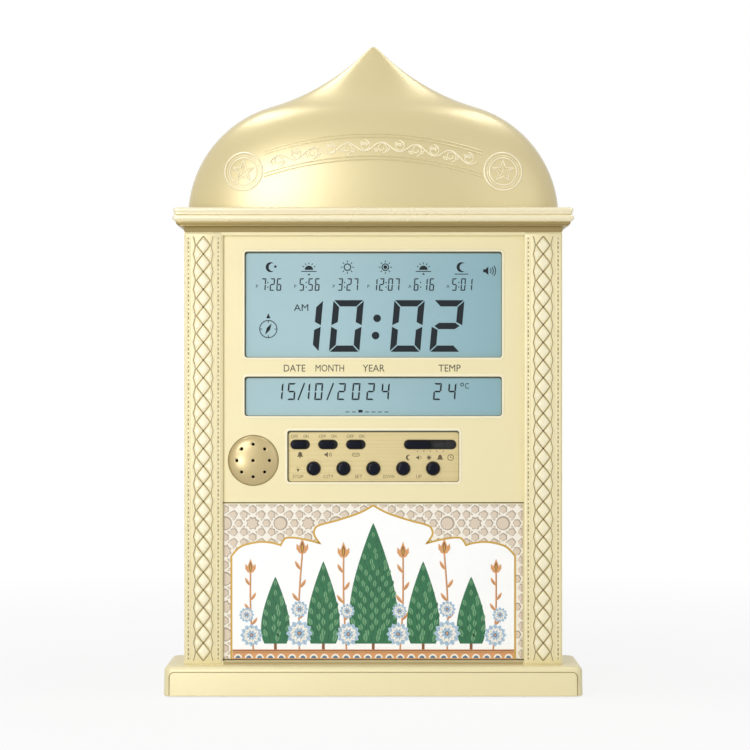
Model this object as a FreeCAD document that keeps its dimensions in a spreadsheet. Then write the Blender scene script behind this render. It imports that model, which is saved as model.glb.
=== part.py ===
import FreeCAD, Part
import math
import os

import Sketcher

# Azan clock for a shelf or a wall: an arched case on a plinth, with a domed crown.
# X runs across the clock, Y from front to back and Z up; all lengths are millimetres.
# The origin is the middle of the footprint at the level of the shelf.
# Positions along the depth are given as "forward": forward = -Y, so the front is positive.

Vector = FreeCAD.Vector
doc = FreeCAD.newDocument("azan_clock")

SIZES = [
    # name, millimetres, what it is
    ("body_half", 98.3, "half width of the case"),
    ("body_base", 16.3, "height where the case stands on the plinth"),
    ("frame_top", 245.6, "top of the front frame, inside the cornice"),
    ("part_back", 12.0, "distance from the middle plane back to the parting line"),
    ("back_face", 26.0, "distance from the middle plane back to the rear face"),
    ("wall", 2.4, "wall of every moulded shell"),
    ("run_gap", 0.3, "clearance round a round or sliding piece"),
    ("seat_gap", 0.1, "gap between pieces stacked behind the panel"),
    ("plinth_half", 108.5, "half width of the plinth"),
    ("plinth_front", 26.0, "half depth of the plinth"),
    ("plinth_corner", 4.5, "radius of the plinth's upright corners"),
    ("plinth_edge", 2.6, "radius of the plinth's top edge"),
    ("foot_height", 0.8, "how far the feet lift the plinth"),
    ("foot_radius", 6.0, "radius of a rubber foot"),
    ("foot_sink", 0.8, "depth of the recess for a foot"),
    ("foot_across", 78.0, "feet from the middle, across"),
    ("foot_along", 14.0, "feet from the middle, front to back"),
    ("base_thick", 1.8, "thickness of the base plate"),
    ("post_radius", 3.6, "radius of a large screw post"),
    ("post_small", 2.5, "radius of a small screw post"),
    ("screw_radius", 1.3, "shank of a large screw"),
    ("screw_small", 0.9, "shank of a small screw"),
    ("head_radius", 2.6, "head of a large screw"),
    ("head_small", 2.0, "head of a small screw"),
    ("head_thick", 1.4, "height of a screw head"),
    ("pilot_gap", 0.15, "clearance of a shank in its pilot bore"),
    ("base_screw_across", 95.0, "base plate screws from the middle, across"),
    ("base_screw_along", 16.0, "base plate screws from the middle, front to back"),
    ("plinth_screw_out", 80.0, "outer plinth screws from the middle"),
    ("plinth_screw_in", 40.0, "inner plinth screws from the middle"),
    ("opening_half", 78.4, "half width of the frame's opening"),
    ("opening_low", 17.9, "bottom of the frame's opening"),
    ("opening_high", 239.6, "top of the frame's opening"),
    ("ring_front", 17.5, "forward face of the frame's ring"),
    ("panel_front", 15.0, "forward face of the two panels"),
    ("panel_half", 86.4, "half width of the two panels"),
    ("panel_low", 17.0, "bottom edge of the picture panel"),
    ("panel_joint", 100.1, "top edge of the picture panel"),
    ("joint_gap", 0.5, "gap between the two panels"),
    ("panel_high", 242.4, "top edge of the display panel"),
    ("sheet_thick", 0.3, "thickness of the printed picture sheet"),
    ("sheet_half", 77.9, "half width of the picture sheet"),
    ("sheet_margin", 0.6, "bare edge of the picture panel inside the opening"),
    ("rail_low", 95.0, "bottom of the rail behind the panels' joint"),
    ("rail_high", 102.6, "top of the rail behind the panels' joint"),
    ("rail_thick", 3.0, "depth of that rail"),
    ("rear_post_across", 91.0, "rear screw posts from the middle"),
    ("rear_post_low", 27.0, "height of the lowest rear screw posts"),
    ("rear_post_mid", 131.0, "height of the middle rear screw posts"),
    ("rear_post_high", 235.0, "height of the top rear screw posts"),
    ("panel_screw_across", 82.6, "panel screws from the middle"),
    ("panel_screw_inset", 12.0, "panel screws from the ends of a panel"),
    ("pillar_thick", 0.5, "thickness of a pillar facing"),
    ("pillar_half", 9.7, "half width of a pillar facing"),
    ("pillar_place", 88.35, "middle of a pillar facing from the middle of the case"),
    ("pillar_low", 16.5, "bottom of a pillar facing"),
    ("pillar_high", 240.9, "top of a pillar facing"),
    ("relief", 0.7, "height of the raised ornament"),
    ("lozenge_half", 3.4, "half width of a lozenge"),
    ("lozenge_rise", 4.3, "half height of a lozenge"),
    ("lozenge_first", 23.6, "height of the lowest lozenge"),
    ("lozenge_pitch", 9.24, "distance between lozenges"),
    ("lozenge_count", 24, "how many lozenges, a whole number"),
    ("rib_place", 8.2, "edge rib from the middle of a pillar facing"),
    ("rib_half", 0.7, "half width of an edge rib"),
    ("cornice_low", 241.2, "bottom of the cornice"),
    ("crown_base", 253.8, "top of the cornice, where the crown stands"),
    ("cornice_front", 18.2, "forward face that the cornice mouldings stand out from"),
    ("cornice_side", 98.6, "side face that the cornice mouldings stand out from"),
    ("cornice_reach", 5.5, "how far the main roll stands out"),
    ("cornice_post_out", 80.0, "outer cornice posts from the middle"),
    ("cornice_post_in", 30.0, "inner cornice posts from the middle"),
    ("crown_post_out", 60.0, "outer crown posts from the middle"),
    ("crown_half", 98.0, "half width of the crown at its base"),
    ("crown_arc", 61.0, "radius of the crown's lower, convex arc"),
    ("crown_level", 250.0, "height of the centre of that arc"),
    ("crown_turn", 54.0, "distance from the middle where the outline turns concave"),
    ("crown_sweep", 119.0, "radius of the crown's upper, concave arc"),
    ("crown_tip", 3.4, "radius of the rounded tip"),
    ("crown_solid", 9.0, "how much of the tip is solid"),
    ("crown_skirt", 9.0, "depth of the crown's flat skirt"),
    ("crown_bulge", 24.0, "how far the crown swells forward of its skirt"),
    ("window_half", 67.1, "half width of the two display windows"),
    ("window_low", 176.0, "bottom of the main window"),
    ("window_high", 231.3, "top of the main window"),
    ("date_low", 145.5, "bottom of the date window"),
    ("date_high", 166.1, "top of the date window"),
    ("window_corner", 1.4, "corner radius of the windows"),
    ("controls_half", 44.8, "half width of the control window"),
    ("controls_low", 111.1, "bottom of the control window"),
    ("controls_high", 137.9, "top of the control window"),
    ("glass_half", 70.0, "half width of the display glasses"),
    ("glass_over", 3.0, "how far the main glass passes its window"),
    ("glass_over_date", 2.0, "how far the date glass passes its window"),
    ("glass_thick", 2.6, "thickness of a display glass"),
    ("strip_tall", 2.2, "height of a conductive strip"),
    ("strip_half", 64.0, "half length of a conductive strip"),
    ("board_front", 6.6, "forward face of the main board"),
    ("board_thick", 1.6, "thickness of a circuit board"),
    ("board_half", 77.5, "half width of the main board"),
    ("board_low", 144.0, "bottom of the main board"),
    ("board_high", 236.0, "top of the main board"),
    ("board_post_across", 74.2, "main board posts from the middle"),
    ("board_post_inset", 4.5, "main board posts from the board's ends"),
    ("plate_half", 47.5, "half width of the control plate"),
    ("plate_over", 2.5, "how far the control plate passes its window"),
    ("plate_thick", 1.2, "thickness of the control plate"),
    ("mask_half", 46.0, "half width of the switch mask"),
    ("mask_rise", 5.8, "half height of the switch mask"),
    ("mask_thick", 0.5, "thickness of the switch mask"),
    ("button_level", 118.1, "height of the buttons"),
    ("button_pitch", 15.6, "distance between buttons"),
    ("button_radius", 3.35, "radius of a button cap"),
    ("button_front", 15.4, "forward end of a button cap"),
    ("button_dome", 1.2, "height of a button's domed end"),
    ("button_flange", 4.4, "radius of a button's flange"),
    ("button_stem", 1.5, "radius of a button's stem"),
    ("button_travel", 0.8, "travel of a button"),
    ("switch_level", 130.6, "height of the slide switches"),
    ("switch_first", -38.2, "place of the left slide switch"),
    ("switch_pitch", 14.55, "distance between slide switches"),
    ("switch_slot", 10.1, "length of a switch's slot"),
    ("switch_tall", 4.9, "height of the switches' slots"),
    ("switch_travel", 2.0, "travel of a slide switch"),
    ("mode_place", 29.7, "place of the mode switch"),
    ("mode_slot", 27.3, "length of the mode switch's slot"),
    ("mode_travel", 13.4, "travel of the mode switch"),
    ("knob_front", 14.0, "forward end of a switch knob"),
    ("knob_corner", 0.6, "cut corner of a switch knob"),
    ("knob_bevel", 0.45, "bevel round the front of a switch knob"),
    ("lever_half", 1.1, "half size of a switch lever"),
    ("slider_half", 3.6, "half length of the slider under a knob"),
    ("key_front", 3.0, "forward face of the key board"),
    ("key_half", 53.3, "half width of the key board"),
    ("key_low", 103.0, "bottom of the key board"),
    ("key_high", 139.4, "top of the key board"),
    ("tact_half", 3.0, "half size of a key switch"),
    ("tact_tall", 3.5, "height of a key switch"),
    ("slide_rear_tall", 6.0, "height of a slide switch's case"),
    ("speaker_place", -62.5, "place of the loudspeaker across the panel"),
    ("speaker_level", 122.4, "height of the loudspeaker"),
    ("cap_radius", 13.0, "radius of the loudspeaker cap"),
    ("cap_front", 18.0, "forward end of the cap"),
    ("cap_edge", 15.5, "forward position of the cap's rim"),
    ("cap_wall", 1.2, "wall of the cap"),
    ("cap_flange", 14.4, "radius of the cap's flange"),
    ("cap_hole", 0.8, "radius of a sound hole"),
    ("cap_ring", 8.45, "radius of the ring of sound holes"),
    ("cap_holes", 8, "how many sound holes in the ring, a whole number"),
    ("driver_radius", 14.4, "radius of the loudspeaker's rim"),
    ("driver_thick", 1.0, "thickness of the loudspeaker's rim"),
    ("driver_ear", 17.4, "loudspeaker's ears from its centre"),
    ("basket_wall", 0.8, "wall of the loudspeaker's basket"),
    ("magnet_radius", 8.4, "radius of the magnet"),
    ("magnet_front", 5.0, "forward face of the magnet"),
    ("magnet_thick", 5.0, "thickness of the magnet"),
    ("cell_radius", 7.1, "radius of a battery"),
    ("cell_half", 25.25, "half length of a battery"),
    ("cell_pitch", 15.2, "distance between batteries"),
    ("cell_first", 47.0, "height of the lowest battery"),
    ("cell_back", 15.4, "distance of the batteries behind the middle plane"),
    ("bay_half", 29.4, "half length of the battery bay"),
    ("bay_wall", 1.6, "wall of the battery bay"),
    ("bay_front", 8.0, "battery bay's floor behind the middle plane"),
    ("bay_margin", 0.5, "room above and below the batteries"),
    ("door_half", 31.0, "half width of the battery door"),
    ("door_thick", 2.3, "thickness of the battery door"),
    ("door_low", 37.2, "bottom of the battery door"),
    ("door_high", 88.0, "top of the battery door"),
    ("pin_radius", 0.55, "radius of the door's hinge pins"),
    ("pin_long", 1.5, "length of the door's hinge pins"),
    ("contact_thick", 0.4, "thickness of a battery contact"),
    ("spring_radius", 3.2, "radius of a battery spring"),
    ("spring_wire", 0.6, "side of a battery spring's wire"),
    ("spring_turns", 2.5, "turns of a battery spring"),
    ("keyhole_level", 281.0, "height of the keyhole's round part"),
    ("keyhole_radius", 4.5, "radius of the keyhole's round part"),
    ("keyhole_slot", 2.2, "half width of the keyhole's slot"),
    ("keyhole_rise", 10.0, "height of the slot's round end above the round part"),
    ("socket_place", 62.0, "place of the power socket"),
    ("socket_level", 40.0, "height of the power socket"),
    ("socket_radius", 4.0, "radius of the power socket's nose"),
    ("socket_bore", 2.75, "radius of the power socket's bore"),
    ("socket_pin", 1.0, "radius of the power socket's pin"),
    ("socket_deep", 9.0, "depth of the power socket's bore"),
    ("vent_half", 16.0, "half length of a rear sound slot"),
    ("vent_pitch", 6.0, "distance between rear sound slots"),
    ("vent_first", 112.0, "height of the lowest rear sound slot"),
    ("vent_count", 5, "how many rear sound slots, a whole number"),
]

sheet = doc.addObject("Spreadsheet::Sheet", "Sizes")
for row, (name, value, note) in enumerate(SIZES, start=1):
    sheet.set("A" + str(row), name)
    sheet.set("B" + str(row), str(value))
    sheet.set("C" + str(row), note)
    sheet.setAlias("B" + str(row), name)
doc.recompute()


class Size:
    """A length: its present value and the sheet expression that gives it."""

    def __init__(self, value, text):
        self.value = float(value)
        self.text = text

    def __add__(self, other):
        other = as_size(other)
        return Size(self.value + other.value, "(%s + %s)" % (self.text, other.text))

    def __sub__(self, other):
        other = as_size(other)
        return Size(self.value - other.value, "(%s - %s)" % (self.text, other.text))

    def __mul__(self, other):
        other = as_size(other)
        return Size(self.value * other.value, "(%s * %s)" % (self.text, other.text))

    def __truediv__(self, other):
        other = as_size(other)
        return Size(self.value / other.value, "(%s / %s)" % (self.text, other.text))

    def __neg__(self):
        return Size(-self.value, "(0 - %s)" % self.text)

    def __radd__(self, other):
        return as_size(other) + self

    def __rsub__(self, other):
        return as_size(other) - self


def as_size(item):
    if isinstance(item, Size):
        return item
    return Size(item, "%.4f" % item)


def size(name):
    return Size(sheet.get(name), "Sizes." + name)


def bind(thing, path, length):
    """Set one property of an object and tie it to the sheet."""
    length = as_size(length)
    thing.setExpression(path, length.text)


# Posts, bores and fasteners are drawn with few sides
POST_SIDES = 8
HEAD_SIDES = 8
SHANK_SIDES = 6
# Small round pieces that show, and the loudspeaker's cap
ROUND_SIDES = 24
CAP_SIDES = 32
# Flat faces round and up the hollow of the crown
ROOM_SIDES = 8
ROOM_LEVELS = 6

# Bodies, sketches and the features they carry

nodes = []


def new_body(label, compound=False):
    body = doc.addObject("PartDesign::Body", label)
    body.Label = label
    body.AllowCompound = compound
    nodes.append(body)
    return body


def origin_item(body, role):
    for item in body.Origin.OriginFeatures:
        if item.Role == role:
            return item
    raise RuntimeError("no " + role)


def new_sketch(body, name, plane, offset=0.0):
    """A sketch on one of the body's own planes, moved along the plane's normal."""
    sketch = body.newObject("Sketcher::SketchObject", name)
    sketch.AttachmentSupport = [(origin_item(body, plane), "")]
    sketch.MapMode = "FlatFace"
    offset = as_size(offset)
    sketch.AttachmentOffset = FreeCAD.Placement(Vector(0, 0, offset.value), FreeCAD.Rotation())
    sketch.setExpression("AttachmentOffset.Base.z", offset.text)
    return sketch


def fix_values(sketch, dimensions):
    """Add dimensions to a sketch in one go, each tied to the sheet."""
    dimensions = [(kind, as_size(length), where) for kind, length, where in dimensions]
    added = [Sketcher.Constraint(kind, *where, length.value) for kind, length, where in dimensions]
    indices = sketch.addConstraint(added)
    for index, (kind, length, where) in zip(indices, dimensions):
        sketch.setExpression("Constraints[%d]" % index, length.text)


def point_dimensions(edge, end, across, up):
    return [("DistanceX", across, (-1, 1, edge, end)), ("DistanceY", up, (-1, 1, edge, end))]


def fix_value(sketch, kind, length, *where):
    fix_values(sketch, [(kind, length, where)])


def fix_point(sketch, edge, end, across, up):
    fix_values(sketch, point_dimensions(edge, end, across, up))


def draw_polygon(sketch, points):
    """A closed outline through points that are pairs of lengths."""
    points = [(as_size(across), as_size(up)) for across, up in points]
    places = [Vector(across.value, up.value, 0) for across, up in points]
    lines = [Part.LineSegment(place, after) for place, after in zip(places, places[1:] + places[:1])]
    edges = list(sketch.addGeometry(lines, False))
    joints = [Sketcher.Constraint("Coincident", edge, 2, after, 1)
              for edge, after in zip(edges, edges[1:] + edges[:1])]
    sketch.addConstraint(joints)
    dimensions = []
    for edge, (across, up) in zip(edges, points):
        dimensions += point_dimensions(edge, 1, across, up)
    fix_values(sketch, dimensions)


def draw_rectangle(sketch, left, right, low, high):
    draw_polygon(sketch, [(left, low), (right, low), (right, high), (left, high)])


def draw_circle(sketch, across, up, radius):
    across = as_size(across)
    up = as_size(up)
    radius = as_size(radius)
    centre = Vector(across.value, up.value, 0)
    edge = sketch.addGeometry(Part.Circle(centre, Vector(0, 0, 1), radius.value), False)
    fix_values(sketch, point_dimensions(edge, 3, across, up) + [("Radius", radius, (edge,))])


def draw_rounded(sketch, left, right, low, high, radius):
    """A rectangle with four round corners that stay tangent to its sides."""
    left, right, low, high, radius = [as_size(item) for item in (left, right, low, high, radius)]
    x0, x1, z0, z1, r = left.value, right.value, low.value, high.value, radius.value
    corners = [(x1 - r, z0 + r, -90), (x1 - r, z1 - r, 0), (x0 + r, z1 - r, 90), (x0 + r, z0 + r, 180)]
    starts = [(x0 + r, z0), (x1, z0 + r), (x1 - r, z1), (x0, z1 - r)]
    ends = [(x1 - r, z0), (x1, z1 - r), (x0 + r, z1), (x0, z0 + r)]
    sides = []
    arcs = []
    for start, end, (cx, cz, angle) in zip(starts, ends, corners):
        sides.append(sketch.addGeometry(Part.LineSegment(Vector(*start, 0), Vector(*end, 0)), False))
        circle = Part.Circle(Vector(cx, cz, 0), Vector(0, 0, 1), r)
        turn = Part.ArcOfCircle(circle, math.radians(angle), math.radians(angle + 90))
        arcs.append(sketch.addGeometry(turn, False))
    ties = []
    for index, kind in enumerate(("Horizontal", "Vertical", "Horizontal", "Vertical")):
        ties.append(Sketcher.Constraint("Tangent", sides[index], 2, arcs[index], 1))
        ties.append(Sketcher.Constraint("Tangent", arcs[index], 2, sides[(index + 1) % 4], 1))
        ties.append(Sketcher.Constraint(kind, sides[index]))
    sketch.addConstraint(ties)
    dimensions = [("Radius", radius, (arc,)) for arc in arcs]
    for kind, length, side in zip(("DistanceY", "DistanceX") * 2, (low, right, high, left), sides):
        dimensions.append((kind, length, (-1, 1, side, 1)))
    fix_values(sketch, dimensions)


def pad(body, sketch, length, backward=False, taper=0.0):
    """Raise a sketch along its plane's normal, or against it."""
    feature = body.newObject("PartDesign::Pad", sketch.Name + "_pad")
    feature.Profile = sketch
    bind(feature, "Length", length)
    feature.Reversed = backward
    feature.TaperAngle = taper
    doc.recompute()
    return feature


def cut(body, sketch, depth, along=False):
    """Sink a sketch against its plane's normal, or along it, and make sure that it cuts."""
    before = body.Shape.Volume
    feature = body.newObject("PartDesign::Pocket", sketch.Name + "_cut")
    feature.Profile = sketch
    bind(feature, "Length", depth)
    feature.Reversed = along
    doc.recompute()
    if body.Shape.Volume > before - 0.001:
        raise RuntimeError(body.Label + ": " + sketch.Name + " cuts nothing")
    return feature


def add_block(body, name, left, right, low, high, rear, front):
    """A block of the body, given by its sides and its forward positions."""
    sketch = new_sketch(body, name, "XZ_Plane", rear)
    draw_rectangle(sketch, left, right, low, high)
    return pad(body, sketch, as_size(front) - rear)


def cut_block(body, name, left, right, low, high, front, depth):
    sketch = new_sketch(body, name, "XZ_Plane", front)
    draw_rectangle(sketch, left, right, low, high)
    return cut(body, sketch, depth)


def draw_circles(sketch, spots, radius):
    for across, up in spots:
        draw_circle(sketch, across, up, radius)


def set_prisms(body, name, plane, spots, radius, start, height, sides, cutting=False):
    """Prisms of few sides that stand on a plane of the body: posts, or bores where they cut."""
    kind = "PartDesign::SubtractivePrism" if cutting else "PartDesign::AdditivePrism"
    for number, (across, up) in enumerate(spots, start=1):
        prism = body.newObject(kind, "%s_%d" % (name, number))
        prism.AttachmentSupport = [(origin_item(body, plane), "")]
        prism.MapMode = "FlatFace"
        bind(prism, "AttachmentOffset.Base.x", across)
        bind(prism, "AttachmentOffset.Base.y", up)
        bind(prism, "AttachmentOffset.Base.z", start)
        prism.Polygon = sides
        bind(prism, "Circumradius", radius)
        bind(prism, "Height", height)
    return prism


def add_posts(body, name, plane, spots, radius, start, length, sides=POST_SIDES):
    """Round posts, or posts of a few sides, that rise along the plane's normal."""
    if sides:
        posts = set_prisms(body, name, plane, spots, radius, start, length, sides)
        doc.recompute()
        return posts
    sketch = new_sketch(body, name, plane, start)
    draw_circles(sketch, spots, radius)
    return pad(body, sketch, length)


def cut_bores(body, name, plane, spots, radius, start, length, sides=POST_SIDES):
    """Bores that run along the plane's normal from their start."""
    if sides:
        before = body.Shape.Volume
        bores = set_prisms(body, name, plane, spots, radius, start, length, sides, cutting=True)
        doc.recompute()
        if body.Shape.Volume > before - 0.001:
            raise RuntimeError(body.Label + ": " + name + " cuts nothing")
        return bores
    sketch = new_sketch(body, name, plane, start)
    draw_circles(sketch, spots, radius)
    return cut(body, sketch, length, along=True)


PLANE_TURNS = {"XY_Plane": FreeCAD.Rotation(), "XZ_Plane": FreeCAD.Rotation(Vector(1, 0, 0), 90)}
standing = {}
drilled = {}


def free_prisms(name, plane, spots, radius, start, height, sides):
    """Prisms of their own, placed as sketches on the same plane would be."""
    prisms = []
    for number, (across, up) in enumerate(spots, start=1):
        prism = doc.addObject("Part::Prism", "%s_%d" % (name, number))
        prism.Placement = FreeCAD.Placement(Vector(), PLANE_TURNS[plane])
        place = (across, up, start) if plane == "XY_Plane" else (across, -as_size(start), up)
        for axis, length in zip("xyz", place):
            bind(prism, "Placement.Base." + axis, length)
        prism.Polygon = sides
        bind(prism, "Circumradius", radius)
        bind(prism, "Height", height)
        prisms.append(prism)
    return prisms


def stand_posts(body, name, plane, spots, radius, start, length, sides=POST_SIDES):
    """Posts that join the body once all its bores are known too."""
    standing.setdefault(body.Name, []).extend(free_prisms(name, plane, spots, radius, start, length, sides))


def drill(body, name, plane, spots, radius, start, length, sides=POST_SIDES):
    """Bores that leave the body after all its posts stand."""
    drilled.setdefault(body.Name, []).extend(free_prisms(name, plane, spots, radius, start, length, sides))


def joined(name, parts):
    """One shape of several, or the only one."""
    if len(parts) == 1:
        return parts[0]
    whole = doc.addObject("Part::MultiFuse", name)
    whole.Shapes = parts
    return whole


def finish_piece(body):
    """The body with its posts on and its bores out, under the body's own label."""
    label = body.Label
    posts = standing.get(body.Name, [])
    bores = drilled.get(body.Name, [])
    if not posts and not bores:
        return body
    body.Label = label + "_form"
    piece = joined(label + "_with_posts", [body] + posts)
    if bores:
        bored = doc.addObject("Part::Cut", label + "_bored")
        bored.Base = piece
        bored.Tool = joined(label + "_bores", bores)
        piece = bored
    piece.Label = label
    return piece


def plate(label, left, right, low, high, rear, front):
    body = new_body(label)
    add_block(body, label + "_outline", left, right, low, high, rear, front)
    return body


def screws(label, plane, spots, seat, length, small=False, thin=None):
    """Screws: shanks along the plane's normal from the seat, heads behind it."""
    head = size("head_small") if small else size("head_radius")
    shank = size("screw_small") if small else size("screw_radius")
    thick = size("head_thick") if thin is None else thin
    heads = free_prisms(label + "_head", plane, spots, head, as_size(seat) - thick, thick, HEAD_SIDES)
    shanks = free_prisms(label + "_shank", plane, spots, shank, seat, length, SHANK_SIDES)
    group = joined(label, heads + shanks)
    group.Label = label
    nodes.append(group)
    return group


def both_sides(across, *levels):
    """The same heights on the right and on the left."""
    spots = []
    for level in levels:
        spots.append((across, level))
        spots.append((-across, level))
    return spots


def edges_at_front(shape, front):
    """Names of the edges that lie in the shape's front face."""
    names = []
    for number, edge in enumerate(shape.Edges, start=1):
        if edge.BoundBox.YMax < 0.01 - front.value:
            names.append("Edge%d" % number)
    return names


def soften(body, feature, edges, radius, kind="PartDesign::Fillet"):
    result = body.newObject(kind, feature.Name + "_soft")
    result.Base = (feature, edges)
    bind(result, "Radius" if kind.endswith("Fillet") else "Size", radius)
    doc.recompute()
    return result


wall = size("wall")
run_gap = size("run_gap")
seat_gap = size("seat_gap")
post = size("post_radius")
post_small = size("post_small")
pilot = size("screw_radius") + size("pilot_gap")
pilot_small = size("screw_small") + size("pilot_gap")
clear = size("screw_radius") + run_gap
clear_small = size("screw_small") + run_gap
body_half = size("body_half")
body_base = size("body_base")
part_back = size("part_back")
back_face = size("back_face")
frame_top = size("frame_top")

# Plinth: a shallow tray upside down, its corners and top edge rounded

plinth_half = size("plinth_half")
plinth_front = size("plinth_front")
foot_height = size("foot_height")
base_top = foot_height + size("base_thick")
plinth_ceiling = body_base - wall
base_spots = []
foot_spots = []
for side in (-1, 1):
    base_spots += both_sides(size("base_screw_across"), size("base_screw_along") * side)
    foot_spots += both_sides(size("foot_across"), size("foot_along") * side)
plinth_spots = both_sides(size("plinth_screw_out"), 0.0) + both_sides(size("plinth_screw_in"), 0.0)

plinth = new_body("plinth")
outline = new_sketch(plinth, "plinth_outline", "XY_Plane", foot_height)
draw_rounded(outline, -plinth_half, plinth_half, -plinth_front, plinth_front, size("plinth_corner"))
block = pad(plinth, outline, body_base - foot_height, taper=-1.2)
top_edges = []
for index, edge in enumerate(block.Shape.Edges, start=1):
    if abs(edge.BoundBox.ZMin - body_base.value) < 0.01 and abs(edge.BoundBox.ZMax - body_base.value) < 0.01:
        top_edges.append("Edge%d" % index)
soften(plinth, block, top_edges, size("plinth_edge"), kind="PartDesign::Chamfer")
hollow = new_sketch(plinth, "plinth_hollow", "XY_Plane", foot_height)
draw_rounded(hollow, -plinth_half + wall, plinth_half - wall, -plinth_front + wall,
             plinth_front - wall, size("plinth_corner") - wall)
cut(plinth, hollow, plinth_ceiling - foot_height, along=True)
stand_posts(plinth, "plinth_posts", "XY_Plane", base_spots, post, base_top, plinth_ceiling - base_top)
drill(plinth, "plinth_pilots", "XY_Plane", base_spots, pilot, base_top, size("wall") * 4)
drill(plinth, "plinth_holes", "XY_Plane", plinth_spots, clear, plinth_ceiling, wall)

# Base plate, its feet and its screws

base_plate = new_body("base_plate")
outline = new_sketch(base_plate, "base_outline", "XY_Plane", foot_height)
base_inset = wall + run_gap
draw_rounded(outline, -plinth_half + base_inset, plinth_half - base_inset, -plinth_front + base_inset,
             plinth_front - base_inset, size("plinth_corner") - base_inset)
pad(base_plate, outline, size("base_thick"))
drill(base_plate, "foot_recesses", "XY_Plane", foot_spots, size("foot_radius") + run_gap,
          foot_height, size("foot_sink"), sides=ROUND_SIDES)
drill(base_plate, "base_seats", "XY_Plane", base_spots, size("head_radius") + run_gap,
          foot_height, size("base_thick") * 0.55)
drill(base_plate, "base_holes", "XY_Plane", base_spots, clear, foot_height, size("base_thick"))

rubber_feet = new_body("rubber_feet", compound=True)
add_posts(rubber_feet, "feet_discs", "XY_Plane", foot_spots, size("foot_radius"), 0.0,
          foot_height + size("foot_sink"), sides=ROUND_SIDES)

screws("base_plate_screws", "XY_Plane", base_spots, foot_height + size("base_thick") * 0.55,
       9.0, thin=size("base_thick") * 0.5)
screws("plinth_screws", "XY_Plane", plinth_spots, plinth_ceiling, 9.5)

# Front frame: four walls behind a flat ring, a rail across and the posts for the rear cover

panel_front = size("panel_front")
panel_rear = panel_front - wall
panel_half = size("panel_half")
ring_front = size("ring_front")
opening_half = size("opening_half")
joint_low = size("panel_joint")
joint_high = size("panel_joint") + size("joint_gap")
inner_half = body_half - wall
rear_spots = both_sides(size("rear_post_across"), size("rear_post_low"), size("rear_post_mid"),
                        size("rear_post_high"))
panel_spots = both_sides(size("panel_screw_across"), size("panel_low") + size("panel_screw_inset"),
                         joint_low - size("panel_screw_inset"), joint_high + size("panel_screw_inset"),
                         size("panel_high") - size("panel_screw_inset"))
top_spots = both_sides(size("cornice_post_out"), 0.0) + both_sides(size("cornice_post_in"), 0.0)

front_frame = new_body("front_frame")
outline = new_sketch(front_frame, "frame_walls", "XZ_Plane", -part_back)
draw_rounded(outline, -body_half, body_half, body_base, frame_top, 0.8)
draw_rectangle(outline, -inner_half, inner_half, body_base + wall, frame_top - wall)
pad(front_frame, outline, part_back + panel_front)
cut_block(front_frame, "panel_ledge", -panel_half - run_gap, panel_half + run_gap,
          size("panel_low") - seat_gap, body_base + wall + seat_gap, panel_front, wall + seat_gap * 2)
outline = new_sketch(front_frame, "frame_ring", "XZ_Plane", panel_front)
draw_rounded(outline, -body_half, body_half, body_base, frame_top, 0.8)
draw_rectangle(outline, -opening_half, opening_half, size("opening_low"), size("opening_high"))
pad(front_frame, outline, ring_front - panel_front)
rail_front = panel_rear - seat_gap
add_block(front_frame, "frame_rail", -body_half + wall / 2, body_half - wall / 2, size("rail_low"),
          size("rail_high"), rail_front - size("rail_thick"), rail_front)
stand_posts(front_frame, "rear_posts", "XZ_Plane", rear_spots, post, -part_back, part_back + panel_front)
stand_posts(front_frame, "foot_posts", "XY_Plane", plinth_spots, post, body_base + wall, 8.0)
drill(front_frame, "rear_pilots", "XZ_Plane", rear_spots, pilot, -part_back, 14.0)
drill(front_frame, "foot_pilots", "XY_Plane", plinth_spots, pilot, body_base, 9.0)
drill(front_frame, "top_holes", "XY_Plane", top_spots, clear, frame_top - wall, wall)
drill(front_frame, "panel_pilots", "XZ_Plane", panel_spots, pilot_small, panel_front, 2.0)

# Pillar facings: two thin strips with a column of lozenges between edge ribs

for label, side in (("pillar_left", -1), ("pillar_right", 1)):
    pillar = new_body(label)
    face = ring_front + size("pillar_thick")
    add_block(pillar, label + "_strip", -size("pillar_half"), size("pillar_half"), size("pillar_low"),
              size("pillar_high"), ring_front, face)
    ribs = new_sketch(pillar, label + "_ribs", "XZ_Plane", face)
    for hand in (-1, 1):
        middle = size("rib_place") * hand
        draw_rectangle(ribs, middle - size("rib_half"), middle + size("rib_half"),
                       size("pillar_low") + 1.0, size("pillar_high") - 1.0)
    pad(pillar, ribs, size("relief") * 0.7)
    lozenge = new_sketch(pillar, label + "_lozenge", "XZ_Plane", face)
    first = size("lozenge_first")
    draw_polygon(lozenge, [(-size("lozenge_half"), first), (0, first - size("lozenge_rise")),
                           (size("lozenge_half"), first), (0, first + size("lozenge_rise"))])
    raised = pad(pillar, lozenge, size("relief"))
    column = pillar.newObject("PartDesign::LinearPattern", label + "_column")
    column.Originals = [raised]
    column.Direction = (origin_item(pillar, "Z_Axis"), [""])
    bind(column, "Length", size("lozenge_pitch") * (size("lozenge_count") - 1))
    column.setExpression("Occurrences", "Sizes.lozenge_count")
    pillar.Tip = column
    bind(pillar, "Placement.Base.x", size("pillar_place") * side)

# Picture panel and the printed sheet on its face

sheet_thick = size("sheet_thick")
picture_panel = plate("picture_panel", -panel_half, panel_half, size("panel_low"), joint_low,
                      panel_rear, panel_front - sheet_thick)
drill(picture_panel, "picture_holes", "XZ_Plane", panel_spots[:4], clear_small, panel_rear, wall)
plate("picture_sheet", -size("sheet_half"), size("sheet_half"), size("opening_low") + size("sheet_margin"),
      joint_low - size("sheet_margin"), panel_front - sheet_thick, panel_front)

# Display panel: two display windows, the control window, the loudspeaker hole and its posts

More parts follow.
